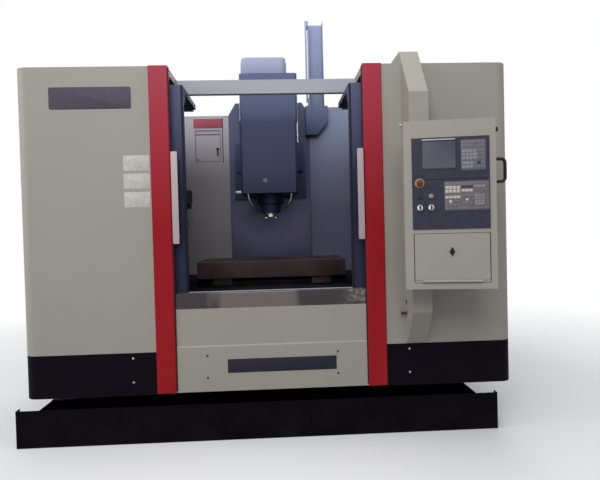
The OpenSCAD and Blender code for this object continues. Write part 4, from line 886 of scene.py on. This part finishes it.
SCREW_HEAD = [(0.0045, -0.001), (0.0075, -0.001), (0.0085, 0.0008), (0.0080, 0.0026),
              (0.0055, 0.0042), (0.0030, 0.0046), (0.0028, 0.0026), (TIP, 0.0026)]
SMALL_SCREW = [(radius * 0.75, out * 0.6) for radius, out in SCREW_HEAD]


@dataclass
class Assembly:
    """New pieces that share the built finishes and, where no other is named, one body."""

    finishes: Finishes
    body: Body

    def put(self, name: str, shape: Shape, finish: Finish, slot: str, body: Body | None = None,
            smooth: float = 35.0) -> bpy.types.Object:
        """Turns a shape into a dressed piece that rides on a body.

        Args:
            name: the piece's name.
            shape: its surface.
            finish: its finish.
            slot: the record's material slot; not used.
            body: the body that it rides on, the assembly's own if left out.
            smooth: largest angle between faces that are shaded as one, in degrees.

        Returns:
            The piece.
        """
        mesh = bpy.data.meshes.new(name)
        mesh.from_pydata(shape.points.tolist(), [], shape.faces)
        mesh.update()
        mesh.materials.append(self.finishes.of(finish))
        mesh.polygons.foreach_set("use_smooth", np.ones(len(mesh.polygons), bool))
        mesh.set_sharp_from_angle(angle=math.radians(smooth))
        piece = bpy.data.objects.new(name, mesh)
        bpy.context.scene.collection.objects.link(piece)
        body = body or self.body
        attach(piece, body.value)
        log.info("%s rides on %s", name, body.value)
        return piece


@dataclass(frozen=True)
class FrontPlate:
    """A plate on a node's front face.

    Its middle is at place across, from the machine's middle, and at rise, which is a height, or
    a distance below the node's top where it is negative.
    """

    name: str
    node: str
    place: float
    rise: float
    size: Pair
    radius: float
    height: float
    finish: Finish
    slot: str


PLATES = (
    FrontPlate("upper_left_plate", "left_front_panel", -0.949, 1.892, (0.436, 0.118), 0.010,
               0.002, SIGN_DARK, "fascia_black"),
    FrontPlate("lower_plate", "lower_front_panel", 0.051, 0.415, (0.601, 0.0755), 0.003,
               0.0015, SIGN_NAVY, "navy_paint"),
    FrontPlate("rear_guard_band", "left_rear_guard", -0.5005, -0.062, (0.243, 0.078), 0.004,
               0.001, FADED_RED, "red_paint"),
    # Painted shade: a dark strip where the gap beside the column lies in shade.
    FrontPlate("rear_guard_joint", "left_rear_guard", -0.386, -0.203, (0.007, 0.370), 0.002,
               0.0015, SEAL, "latch_black"),
    FrontPlate("right_guard_edge", "right_rear_guard", 0.574, -0.006, (0.170, 0.010), 0.003,
               0.0015, LABEL_PALE, "white_plastic"))


@dataclass
class Enclosure(Assembly):
    """Screws, bare plates, seals and trims of the sheet-metal enclosure.

    Places across are measured from the machine's middle, which is shift along X. Screws and
    labels are given as their place across and their heights, and the hatch's lever and knob as
    their distance from its right edge and their height.
    """

    shift: float
    kick_screws: tuple[float, Pair] = (0.763, (0.474, 0.343))
    lower_screws: tuple[float, Pair] = (0.360, (0.475, 0.354))
    labels: tuple[float, Triple] = (-0.712, (1.538, 1.439, 1.340))
    hatch_width: float = 0.224
    hatch_lap: float = 0.012
    seal_lip: float = 0.005
    fold_drop: float = 0.043
    lever: Pair = (0.033, 1.836)
    knob: Pair = (0.198, 1.761)
    duct_depth: float = 0.025
    hole_height: float = 0.741
    pin_height: float = 0.679
    post_seal: float = 0.5265

    def build(self) -> None:
        """Makes all of the enclosure's own pieces."""
        self.screws()
        self.plates()
        self.hatch_trim()
        self.duct_trim()
        self.post_lines()

    def screws(self) -> None:
        """Raised-head screws on the kick panels, dark ones on the lower front panel."""
        for name, node, finish, (reach, rows) in (
                ("kick_panel_screws", "left_front_panel", ZINC, self.kick_screws),
                ("lower_panel_screws", "lower_front_panel", SEAL, self.lower_screws)):
            head = Side.FRONT.of(node).turned(SMALL_SCREW, 20)
            spots = [[side * reach + self.shift, 0, z] for side in (-1, 1) for z in rows]
            self.put(name, head.copies(spots), finish, "foot_steel")

    def plates(self) -> None:
        """Bare plates and strips on the panels' and guards' front faces, and plain labels."""
        for plate in PLATES:
            foot = Box.of(plate.node).high.z if plate.rise < 0 else 0.0
            shape = Side.FRONT.of(plate.node).plate(
                (self.shift + plate.place, foot + plate.rise), plate.size, plate.radius,
                plate.height)
            self.put(plate.name, shape, plate.finish, plate.slot)
        label = Side.FRONT.of("left_front_panel").plate((0, 0), (0.140, 0.084), radius=0.006,
                                                        height=0.0008, bevel=0.0004)
        place, rows = self.labels
        spots = [[self.shift + place, 0, z] for z in rows]
        self.put("plain_labels", label.copies(spots), LABEL_PALE, "white_plastic")

    def hatch_trim(self) -> None:
        """Seal, fold, lever and knob of the small hatch in the left rear guard."""
        box, lip = Box.of("rear_hatch"), self.seal_lip
        wide = self.hatch_width - 2 * self.hatch_lap
        tall = box.size.z - 2 * self.hatch_lap
        centre = (box.high.x - self.hatch_width / 2, box.middle.z)
        seal = Side.FRONT.of("left_rear_guard").frame(
            centre, (wide + 2 * lip, tall + 2 * lip), 0.006,
            [(0, 0), (0, 0.0012), (lip, 0.0012), (lip, 0)])
        self.put("hatch_seal", seal, KEY_DIM, "latch_black")
        face = Side.FRONT.of("rear_hatch")
        fold = face.plate((centre[0], box.high.z - self.fold_drop), (wide - 0.004, 0.007),
                          radius=0.003, height=0.002)
        self.put("hatch_fold", fold, SEAL, "latch_black", Body.HATCH)
        pivot = (box.high.x - self.lever[0], self.lever[1])
        hub = face.turned([(0.012, 0), (0.012, 0.006), (0.009, 0.009), (TIP, 0.010)], 20, pivot)
        arm = face.plate((pivot[0], pivot[1] - 0.024), (0.011, 0.064), radius=0.005,
                         height=0.006, base=0.006)
        self.put("hatch_lever", joined([hub, arm]), HANDLE, "latch_black", Body.HATCH)
        knob = face.turned([(0.006, 0), (0.006, 0.003), (0.009, 0.005), (0.008, 0.010),
                            (TIP, 0.011)], 20, (box.high.x - self.knob[0], self.knob[1]))
        self.put("hatch_knob", knob, ZINC, "foot_steel", Body.HATCH)

    def duct_trim(self) -> None:
        """Grommet of the cable hole and the clamp pin on the duct's left side."""
        side = Side.LEFT.of("cable_duct")
        place = self.duct_depth - Box.of("left_front_panel").low.y
        grommet = side.plate((place, self.hole_height), (0.012, 0.024), radius=0.005,
                             height=0.002)
        self.put("duct_grommet", grommet, RUBBER, "latch_black")
        pin = side.turned([(0.011, 0), (0.011, 0.003), (0.007, 0.004), (0.007, 0.022),
                           (0.009, 0.024), (0.009, 0.031), (0.007, 0.033), (TIP, 0.0332)], 20,
                          (place, self.pin_height))
        self.put("duct_clamp_pin", pin, SEAL, "foot_steel")

    def post_lines(self) -> None:
        """Rubber strips on the inner edge of both door posts."""
        posts = Box.of("door_posts")
        face = Side.FRONT.of("left_front_panel", out=0.002)
        for side, name in ((-1, "left_post_seal"), (1, "right_post_seal")):
            strip = face.plate((side * self.post_seal + self.shift, posts.middle.z),
                               (0.006, posts.size.z - 0.02), radius=0.002, height=0.006)
            self.put(name, strip, RUBBER, "latch_black")


@dataclass
class RearGear(Assembly):
    """Fittings that are seen from behind and above: switch, glands, ribs, grille and plug.

    The switch is given as its distance from the cabinet door's left edge and its height. The
    door's hinge stands out behind its face by the knuckle.
    """

    switch: Pair = (0.150, 1.560)
    knuckle: float = 0.009
    first_gland: float = 0.12
    gland_count: int = 6
    gland_pitch: float = 0.07
    rib_count: int = 11
    rib_spread: float = 0.230
    grille_radii: tuple[float, ...] = (0.058, 0.072, 0.086, 0.100)
    cap_drop: float = 0.014
    cap_screw: float = 0.118
    plug_drop: float = 0.135
    guard_sheet: float = 0.003

    def build(self) -> None:
        """Makes the rear and top fittings."""
        self.cabinet()
        self.spindle_motor()
        self.feed_motor()
        self.cable_shroud()
        self.guard_screws()

    def cabinet(self) -> None:
        """Main switch and cable glands of the electrical cabinet."""
        face = Side.BACK.of("cabinet_door", out=-self.knuckle)
        switch = (-(Box.of("cabinet_door").low.x + self.switch[0]), self.switch[1])
        plate = face.plate(switch, (0.074, 0.074), radius=0.006, height=0.003)
        self.put("main_switch_plate", plate, RING_YELLOW, "ring_yellow", Body.CABINET_DOOR)
        grip = joined([
            face.turned([(0.026, 0.003), (0.026, 0.012), (0.022, 0.016), (TIP, 0.016)], 32,
                        switch),
            face.plate(switch, (0.012, 0.050), radius=0.004, height=0.014, base=0.014)])
        self.put("main_switch_grip", grip, STOP_RED, "stop_red", Body.CABINET_DOOR)
        box = Box.of("electrical_cabinet")
        gland = Side.UNDER.of("electrical_cabinet").turned([
            (0.020, -0.001), (0.020, 0.006), (0.016, 0.008), (0.016, 0.022), (0.012, 0.028),
            (TIP, 0.028)], 20)
        spots = [[box.low.x + self.first_gland + self.gland_pitch * k, box.middle.y, 0]
                 for k in range(self.gland_count)]
        self.put("cabinet_cable_glands", gland.copies(spots), HANDLE, "latch_black")

    def spindle_motor(self) -> None:
        """Cooling ribs, cover screws and fan grille of the spindle motor."""
        box = Box.of("spindle_motor")
        middle, bottom, top = box.middle, box.low.z + 0.012, box.high.z - 0.040
        steps = np.linspace(-self.rib_spread / 2, self.rib_spread / 2, self.rib_count)
        ribs = []
        for face in (side.of("spindle_motor") for side in (Side.LEFT, Side.RIGHT, Side.BACK)):
            place = float(np.array(middle) @ face.across)
            rib = face.plate((place, (bottom + top) / 2), (0.007, top - bottom), radius=0.002,
                             height=0.006, base=-0.0005)
            ribs.append(rib.copies(steps[:, None] * face.across))
        self.put("spindle_motor_ribs", joined(ribs), MOTOR_BLACK, "motor_black", Body.HEAD)
        cap = Side.TOP.of("spindle_motor", out=-self.cap_drop)
        spots = [[middle.x + a * self.cap_screw, middle.y + b * self.cap_screw, 0]
                 for a in (-1, 1) for b in (-1, 1)]
        self.put("spindle_motor_screws", cap.turned(SCREW_HEAD, 16).copies(spots), ZINC,
                 "foot_steel", Body.HEAD)
        wire, centre = 0.003, (middle.x + 0.010, middle.y)
        rings = [cap.turned([(r + wire, 0), (r + wire, 0.004), (r, 0.004), (r, 0)], 40, centre,
                            looped=True) for r in self.grille_radii]
        self.put("fan_grille", joined(rings), MOTOR_BLACK, "motor_black", Body.HEAD)

    def feed_motor(self) -> None:
        """Round plug on the Z feed motor's back."""
        box = Box.of("z_motor")
        plug = Side.BACK.of("z_motor").turned([
            (0.018, -0.002), (0.018, 0.010), (0.015, 0.012), (0.015, 0.030), (0.010, 0.036),
            (TIP, 0.036)], 20, (-box.middle.x, box.high.z - self.plug_drop))
        self.put("feed_motor_plug", plug, ZINC, "foot_steel")

    def cable_shroud(self) -> None:
        """Folded shroud of the cable track's lower end, on the right guard beside the column.

        Its outline (across, up) is a rectangle whose lower right corner is cut away, carried
        forwards from the guard's face and drawn in at the front edge.
        """
        outline = np.array([[-0.033, -0.240], [0.065, -0.240], [0.151, -0.130], [0.151, -0.002],
                            [-0.033, -0.002]])
        middle = outline.mean(0)
        corner = (Box.of("column_casting").high.x, Box.of("right_rear_guard").high.z)
        face = Side.FRONT.of("right_rear_guard")
        rings = [face.ring(middle + (outline - middle) * scale, corner, out)
                 for scale, out in ((1.0, 0.0), (1.0, 0.058), (0.985, 0.061), (0.96, 0.062))]
        self.put("cable_shroud", loft(rings), NAVY, "dark_metal", smooth=20.0)

    def guard_screws(self) -> None:
        """A row of screws that hold the left rear guard to the side panel."""
        box = Box.of("left_rear_guard")
        head = Side.BACK.at(box.low.y + self.guard_sheet).turned(SMALL_SCREW, 16)
        rows = np.linspace(box.low.z + 0.10, box.high.z - 0.12, 7)
        self.put("rear_guard_screws", head.copies([[box.low.x + 0.022, 0, z] for z in rows]),
                 ZINC, "foot_steel")


@dataclass
class DoorTrim(Assembly):
    """Window gasket and edge seal of one sliding door."""

    node: str
    inner_sign: int
    lap: float = 0.020

    def build(self) -> None:
        """Makes the gasket round the window and the seal on the closing edge."""
        window, door = Box.of(self.node + "_window"), Box.of(self.node)
        face = Side.FRONT.of(self.node)
        gasket = face.frame(
            (window.middle.x, window.middle.z),
            (window.size.x - 2 * self.lap, window.size.z - 2 * self.lap), 0.040,
            [(-0.012, 0.0), (-0.012, 0.0030), (-0.009, 0.0045), (-0.002, 0.0045),
             (0.002, 0.0028), (0.002, -0.0029), (0.0005, -0.0029), (0.0005, 0.0)])
        self.put(self.node + "_gasket", gasket, RUBBER, "latch_black")
        edge = door.low.x if self.inner_sign > 0 else door.high.x
        strip = face.plate((edge + self.inner_sign * 0.006, door.middle.z),
                           (0.010, door.size.z - 0.01), radius=0.003, height=0.004)
        self.put(self.node + "_edge_seal", strip, RUBBER, "latch_black")


@dataclass(frozen=True)
class Keys:
    """Equal keys in rows and columns; left and top are the first key's edges on the box."""

    left: float
    top: float
    columns: int = 1
    rows: int = 1
    size: Pair = (0.0160, 0.0125)
    pitch: Pair = (0.0182, 0.0176)


@dataclass(frozen=True)
class KeyGroup:
    """Keys of one colour that make one piece."""

    name: str
    finish: Finish
    keys: tuple[Keys, ...]
    slot: str = "screen"


LETTER = {"size": (0.0150, 0.0146), "pitch": (0.0178, 0.0176)}
LETTER_KEYS = (
    KeyGroup("letter_keys_pale", KEY_GREY, (
        Keys(0.2805, 0.1500, 4, 3, **LETTER), Keys(0.2805, 0.2090, 3, 2, **LETTER))),
    KeyGroup("letter_keys_dim", KEY_DIM, (
        Keys(0.2805, 0.1075, 6, 2, **LETTER), Keys(0.3517, 0.1500, 2, 3, **LETTER),
        Keys(0.3339, 0.2090, 1, 2, **LETTER), Keys(0.3517, 0.2266, **LETTER),
        Keys(0.3695, 0.2090, 1, 2, **LETTER))),
    KeyGroup("letter_key_dark", FASCIA, (Keys(0.3517, 0.2090, **LETTER),), "fascia_black"))
OPERATOR_KEYS = (
    KeyGroup("operator_keys_pale", KEY_PALE, (
        Keys(0.198, 0.3260, 4, 2, (0.0155, 0.0150)), Keys(0.275, 0.3430, 3),
        Keys(0.198, 0.3740, 4), Keys(0.2162, 0.3945, size=(0.0120, 0.0140)),
        Keys(0.2945, 0.3870, size=(0.0120, 0.0120)))),
    KeyGroup("operator_keys_grey", KEY_GREY, (
        Keys(0.333, 0.3235, 3),
        Keys(0.338, 0.3690, 3, 4, (0.0133, 0.0115), (0.0155, 0.0135)))),
    KeyGroup("operator_keys_dim", KEY_DIM, (
        Keys(0.198, 0.3945, 1, 2), Keys(0.2344, 0.3945, 2, 2), Keys(0.2162, 0.4121),
        Keys(0.275, 0.3690, 3), Keys(0.275, 0.4040, 3),
        Keys(0.333, 0.3400, 4, 1, (0.0140, 0.0125), (0.0165, 0.0176)),
        Keys(0.198, 0.4305, 12, 1, (0.0145, 0.0085), (0.0168, 0.0110)))),
    KeyGroup("operator_keys_dark", FASCIA, (Keys(0.275, 0.3250, 3, 1, (0.0160, 0.0110)),),
             "fascia_black"))


@dataclass
class ControlPanel(Assembly):
    """Screen, key fields, screws and knobs of the control box.

    Places on the box are measured from the left edge of its front and, as drops, from its top.
    The swivel is the hinge's place in the frame, and hinge is its distance from the box's front
    left edge, across and inwards. A knob is given by its distance behind the front, and its
    drop. The film is the fascia's thickness, and field that of the plates under the keys.
    """

    swivel: np.ndarray
    turn: float = math.radians(10)
    hinge: Pair = (0.092, 0.145)
    low_z: float = 0.844
    wide: float = 0.441
    tall: float = 0.832
    film: float = 0.004
    field: float = 0.0008
    screen_middle: Pair = (0.1695, 0.170)
    screen_size: Pair = (0.157, 0.130)
    screen_rim: float = 0.0075
    strip_drop: float = 0.0965
    screw_columns: Pair = (0.046, 0.403)
    screw_drops: tuple[float, ...] = (0.093, 0.283, 0.300, 0.529)
    side_knob: Pair = (0.045, 0.050)
    left_knob: Pair = (0.030, 0.012)
    storage_low: Pair = (0.044, 0.033)
    storage_size: Pair = (0.364, 0.241)

    @property
    def face(self) -> Plane:
        """The box's front plane, from its lower left corner.

        Returns:
            The plane.
        """
        across = np.array([math.cos(self.turn), -math.sin(self.turn), 0])
        inwards = np.array([math.sin(self.turn), math.cos(self.turn), 0])
        corner = self.swivel - self.hinge[0] * across - self.hinge[1] * inwards
        corner[2] = self.low_z
        return Plane(corner, across, np.array([0, 0, 1.0]))

    def build(self) -> None:
        """Makes all of the panel's own pieces."""
        self.screen()
        self.key_field("letter_key_field", KEY_FIELD, (0.3335, 0.1765), (0.117, 0.147),
                       LETTER_KEYS)
        self.key_field("operator_key_field", KEY_BROWN, (0.300, 0.374), (0.212, 0.140),
                       OPERATOR_KEYS)
        self.fascia_screws()
        self.storage_seal()
        self.selector_bars()
        self.knobs()

    def screen(self) -> None:
        """The screen in its bezel with the pale strip along its top edge."""
        face = self.face
        centre = (self.screen_middle[0], self.tall - self.screen_middle[1])
        (wide, high), rim, film = self.screen_size, self.screen_rim, self.film
        bezel = face.frame(centre, (wide + 2 * rim, high + 2 * rim), 0.006, [
            (0, film), (0, film + 0.0016), (0.002, film + 0.0024), (0.006, film + 0.0024),
            (0.008, film + 0.0010), (0.008, film)])
        self.put("screen_bezel", bezel, FASCIA, "fascia_black")
        bottom = face.origin[2] + centre[1] - high / 2
        # Painted reflection: the screen is paler at its bottom than at its top.
        screen_reflection = PaintedReflectionScreen("unlit_screen", linear(96, 99, 108), linear(66, 68, 84), bottom,
                          bottom + high)
        glass = face.plate(centre, (wide, high), radius=0.003, height=0.0012, base=film,
                           bevel=0.0004)
        screen = self.put("screen_glass", glass, screen_reflection, "screen")
        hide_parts("screen_and_keys")
        strip = face.plate((centre[0], self.tall - self.strip_drop), (0.160, 0.006),
                           radius=0.0025, height=0.0036, base=film, bevel=0.0006)
        self.put("screen_top_strip", strip, KEY_PALE, "white_plastic")

    def key_field(self, name: str, finish: Finish, centre: Pair, size: Pair,
                  groups: tuple[KeyGroup, ...]) -> None:
        """A thin field plate with its groups of keys.

        Args:
            name: the field plate's name.
            finish: the field plate's finish.
            centre: its middle, across and below the box's top.
            size: its width and height.
            groups: the keys.
        """
        field = self.face.plate((centre[0], self.tall - centre[1]), size, radius=0.004,
                                height=self.field, base=self.film, bevel=0.0003)
        self.put(name, field, finish, "screen")
        for group in groups:
            shape = joined([self.grid(keys) for keys in group.keys])
            self.put(group.name, shape, group.finish, group.slot)

    def grid(self, keys: Keys) -> Shape:
        """Keys in rows and columns.

        Args:
            keys: their size and places.

        Returns:
            The keys as one shape.
        """
        face, (wide, high) = self.face, keys.size
        key = face.plate((keys.left + wide / 2, self.tall - keys.top - high / 2), keys.size,
                         radius=0.0014, height=0.0012, base=self.film + self.field, bevel=0.0004)
        across, down = np.meshgrid(np.arange(keys.columns) * keys.pitch[0],
                                   np.arange(keys.rows) * keys.pitch[1])
        return key.copies(across.reshape(-1, 1) * face.across - down.reshape(-1, 1) * face.up)

    def fascia_screws(self) -> None:
        """Countersunk screws in the corners of both fascia plates."""
        face = self.face
        profile = [(0.0032, -0.001), (0.0034, 0.0004), (0.0026, 0.0009), (0.0004, 0.0004)]
        head = face.turned([(radius, self.film + out) for radius, out in profile], 16)
        spots = [u * face.across + (self.tall - drop) * face.up
                 for u in self.screw_columns for drop in self.screw_drops]
        self.put("fascia_screws", head.copies(spots), SEAL, "foot_steel")

    def storage_seal(self) -> None:
        """Dark lip round the storage opening, outside its door."""
        (left, low), (wide, high), lip = self.storage_low, self.storage_size, 0.0022
        seal = self.face.frame(
            (left + wide / 2, low + high / 2), (wide + 2 * lip, high + 2 * lip), 0.004,
            [(0, 0), (0, 0.0005), (lip, 0.0005), (lip, 0)])
        self.put("storage_seal", seal, SEAL, "latch_black")

    def selector_bars(self) -> None:
        """Dark pointer bars on the faces of both turning selectors."""
        face, sunk = self.face, 0.002
        for body, node in ((Body.MODE_KNOB, "mode_knob"), (Body.KEY_SWITCH, "key_switch")):
            offset = np.array(Box.of(node).middle) - face.origin
            mesh = bpy.data.objects[node].data
            points = np.empty(len(mesh.vertices) * 3)
            mesh.vertices.foreach_get("co", points)
            front = float(((points.reshape(-1, 3) - face.origin) @ face.out).max())
            place = (float(offset @ face.across), float(offset @ face.up))
            bar = face.plate(place, (0.0075, 0.022), radius=0.002, height=0.0035,
                             base=front - sunk)
            self.put(node + "_bar", bar, HANDLE, "latch_black", body)

    def knobs(self) -> None:
        """Clamp knobs on the box's right and left sides, near its top."""
        face = self.face
        profile = [(0.006, 0), (0.006, 0.005), (0.012, 0.007), (0.0135, 0.012),
                   (0.0125, 0.018), (0.008, 0.021), (TIP, 0.0215)]
        right = Plane(face.origin + self.wide * face.across, -face.out, face.up)
        knob = right.turned(profile, 24, (self.side_knob[0], self.tall - self.side_knob[1]))
        self.put("side_clamp_knob", knob, HANDLE, "latch_black")
        left = Plane(face.origin, face.out, face.up)
        cap = left.turned([(radius * 0.55, out * 0.7) for radius, out in profile], 20,
                          (-self.left_knob[0], self.tall - self.left_knob[1]))
        self.put("left_clamp_knob", cap, KEY_PALE, "white_plastic")


@dataclass
class Head(Assembly):
    """Boss, coolant block, nozzles and cap screws of the spindle head.

    Places across are measured from the spindle's axis, which is shift along X. The block is
    given by its side's place, its depth behind the head's front, and its height.
    """

    shift: float
    boss: Pair = (-0.028, 1.490)
    block: Triple = (-0.195, 0.060, 1.420)
    nozzle_top: Triple = (0.150, -0.150, 1.414)
    nozzle_tip: Triple = (0.085, -0.095, 1.290)
    nozzle_drop: float = 0.07
    screw_count: int = 8
    screw_circle: float = 0.066

    def build(self) -> None:
        """Makes the head's own pieces."""
        boss = Side.FRONT.of("headstock").turned([
            (0.017, 0), (0.018, 0.001), (0.017, 0.004), (0.013, 0.006), (TIP, 0.0066)], 28,
            (self.shift + self.boss[0], self.boss[1]))
        self.put("head_round_boss", boss, KEY_FIELD, "white_plastic")
        x, depth, z = self.block
        block = Side.LEFT.at(self.shift + x).plate(
            (-(Box.of("headstock").low.y + depth), z), (0.050, 0.018), radius=0.004,
            height=0.040, base=-0.002)
        self.put("coolant_block", block, ZINC, "foot_steel")
        self.nozzles()
        self.nose_ring()

    def nozzles(self) -> None:
        """Two bent coolant nozzles under the head, aimed at the tool.

        A nozzle's axis goes from its top to its tip by way of a knee straight under the top:
        (1 - t) squared times the top, plus 2 t (1 - t) times the knee, plus t squared times the
        tip, for t from 0 to 1.
        """
        axis = Box.of("spindle").middle
        t = np.linspace(0, 1, 14)[:, None]
        shapes = []
        for side in (-1, 1):
            top, tip = (np.array([axis.x + side * x, axis.y + y, z])
                        for x, y, z in (self.nozzle_top, self.nozzle_tip))
            knee = top - np.array([0, 0, self.nozzle_drop])
            path = (1 - t) ** 2 * top + 2 * t * (1 - t) * knee + t ** 2 * tip
            shapes.append(tube(path, radius=0.007, steps=12))
        self.put("coolant_nozzles", joined(shapes), DISC, "foot_steel")

    def nose_ring(self) -> None:
        """Ring of cap screws round the spindle's nose flange."""
        axis = Box.of("spindle").middle
        head = Side.UNDER.of("headstock").turned([
            (0.0055, -0.001), (0.0055, 0.004), (0.005, 0.005), (0.003, 0.005),
            (0.0028, 0.0025), (TIP, 0.0025)], 14)
        ring = circle(self.screw_count, math.pi / self.screw_count) * self.screw_circle
        spots = [[axis.x + x, axis.y + y, 0] for x, y in ring]
        self.put("nose_screws", head.copies(spots), ZINC, "foot_steel")


@dataclass
class CoverWipers(Assembly):
    """Black wiper lips on the leading edges of the telescopic covers."""

    width: float = 0.004
    proud: float = 0.0004

    def build(self) -> None:
        """Makes the lips on both X covers' inner edges and on the Y cover's front edge."""
        left, right, front = (Box.of(node) for node in (
            "x_cover_mid_left", "x_cover_mid_right", "y_cover_mid"))
        for name, body, x, y, z in (
                ("x_cover_mid_left_wiper", Body.LEFT_X_COVER,
                 (left.high.x - self.width, left.high.x), (left.low.y, left.high.y),
                 (left.high.z, left.high.z + self.proud)),
                ("x_cover_mid_right_wiper", Body.RIGHT_X_COVER,
                 (right.low.x, right.low.x + self.width), (right.low.y, right.high.y),
                 (right.high.z, right.high.z + self.proud)),
                ("y_cover_mid_wiper", Body.Y_COVER,
                 (front.low.x, front.high.x), (front.low.y - 0.003, front.low.y),
                 (front.high.z - 0.0027, front.high.z - 0.0002))):
            lip = Side.FRONT.at(y[1]).plate((sum(x) / 2, sum(z) / 2), (x[1] - x[0], z[1] - z[0]),
                                            radius=0.0008, height=y[1] - y[0], bevel=0.0005)
            self.put(name, lip, RUBBER, "latch_black", body)


@dataclass
class Studio:
    """Camera, lights, floor and background."""

    shift: Pair
    seat: Triple = (0.0332, -2.865, 1.159)
    yaw: float = math.radians(2.64)
    pitch: float = math.radians(-1.22)
    roll: float = math.radians(-1.45)
    focal_px: float = 520.0
    frame_px: float = 600.0
    sensor: float = 36.0
    soft: float = 0.42
    fade: Pair = (2.3, 5.0)

    def build(self) -> None:
        """Sets up everything that isn't the object."""
        self.camera()
        self.world()
        self.floor()
        self.area("key", (-6.2, -2.4, 3.0), aim=(0, -0.6, 1.3), size=4.0, power=150)
        self.area("front", (-0.5, -5.2, 4.6), aim=(0.3, -0.6, 1.4), size=3.2, power=176)
        self.area("top", (0.0, -0.4, 6.0), aim=(0, 0, 1.0), size=5.0, power=130)
        self.area("back", (2.5, 6.0, 3.5), aim=(0, 0.6, 1.2), size=4.0, power=150)
        bpy.context.scene.view_settings.view_transform = "Standard"
        log.info("studio ready")

    def camera(self) -> None:
        """The photograph's viewpoint, level, turn and focal length."""
        ahead = Vector((math.sin(self.yaw) * math.cos(self.pitch),
                        math.cos(self.yaw) * math.cos(self.pitch), math.sin(self.pitch)))
        right = Vector((math.cos(self.yaw), -math.sin(self.yaw), 0))
        above = right.cross(ahead)
        x_axis = right * math.cos(self.roll) + above * math.sin(self.roll)
        y_axis = above * math.cos(self.roll) - right * math.sin(self.roll)
        turn = Matrix((x_axis, y_axis, -ahead)).transposed().to_4x4()
        place = Vector(self.seat) + Vector((*self.shift, 0))
        lens = bpy.data.cameras.new("camera")
        lens.sensor_width = self.sensor
        lens.sensor_fit = "HORIZONTAL"
        lens.lens = self.focal_px / self.frame_px * self.sensor
        lens.clip_end = 60
        camera = bpy.data.objects.new("camera", lens)
        camera.matrix_world = Matrix.Translation(place) @ turn
        bpy.context.scene.collection.objects.link(camera)
        bpy.context.scene.camera = camera

    def world(self) -> None:
        """Even light, with a white background for the camera, gloss and glass."""
        world = bpy.data.worlds.new("studio")
        tree = Tree(world)
        soft = tree.add("Background", 0, {"Color": (0.93, 0.96, 1.0, 1), "Strength": self.soft})
        white = tree.add("Background", 0, {"Color": (1, 1, 1, 1), "Strength": 1.0})
        shade = tree.add("MixShader", 0, {"Fac": tree.seen(), 1: soft, 2: white})
        tree.add("OutputWorld", 0, {"Surface": shade})
        bpy.context.scene.world = world

    def floor(self) -> None:
        """A large pale disc under the machine that fades to the white background far out."""
        steps, radius, drop = 96, 30.0, 0.0005
        ring = Side.TOP.at(-drop).ring(circle(steps) * radius, (0, 0), 0.0)
        mesh = bpy.data.meshes.new("studio_floor")
        mesh.from_pydata(ring.tolist(), [], [tuple(range(steps))])
        graph = Graph("studio_floor_paint")
        seen = graph.seen()
        graph.set(Roughness=0.8, Specular_IOR_Level=0.1,
                  Base_Color=graph.mix(seen, (0.34, 0.34, 0.35, 1), (0.78, 0.78, 0.79, 1)))
        reach = graph.add("VectorMath", "Value", {0: graph.place}, operation="LENGTH")
        share = graph.math("MULTIPLY", graph.ramp(reach, *self.fade), seen)
        white = graph.add("Emission", 0, {})
        blend = graph.add("MixShader", 0, {"Fac": share, 1: graph.shader.outputs[0], 2: white})
        graph.links.new(blend, graph.output.inputs["Surface"])
        mesh.materials.append(graph.material)
        floor = bpy.data.objects.new("studio_floor", mesh)
        bpy.context.scene.collection.objects.link(floor)

    def area(self, name: str, seat: Triple, aim: Triple, size: float, power: float) -> None:
        """One square area light.

        Args:
            name: the light's name.
            seat: where it stands.
            aim: the point that it faces.
            size: side length.
            power: watts.
        """
        lamp = bpy.data.lights.new(name, "AREA")
        lamp.size = size
        lamp.energy = power
        light = bpy.data.objects.new(name, lamp)
        light.location = seat
        way = Vector(aim) - Vector(seat)
        light.rotation_euler = way.to_track_quat("-Z", "Y").to_euler()
        bpy.context.scene.collection.objects.link(light)


def main() -> None:
    """Loads the frame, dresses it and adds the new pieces."""
    logging.basicConfig(level=logging.INFO, format="%(name)s: %(message)s")
    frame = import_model()
    joints = {joint["name"]: joint for joint in frame["joints"]}
    swivel = np.array(joints["control_box_swivel"]["pos_m"], float)
    middle = joints["spindle_spin"]["pos_m"][0]
    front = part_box("right_front_panel")[0].y
    Studio((middle, front)).build()
    finishes = Finishes()
    finishes.dress(frame["nodes"])
    Enclosure(finishes, Body.FRAME, middle).build()
    DoorTrim(finishes, Body.LEFT_DOOR, "door_left", -1).build()
    DoorTrim(finishes, Body.RIGHT_DOOR, "door_right", 1).build()
    ControlPanel(finishes, Body.CONTROL_BOX, swivel).build()
    Head(finishes, Body.HEAD, middle).build()
    RearGear(finishes, Body.FRAME).build()
    CoverWipers(finishes, Body.Y_COVER).build()


if __name__ == "__main__":
    main()
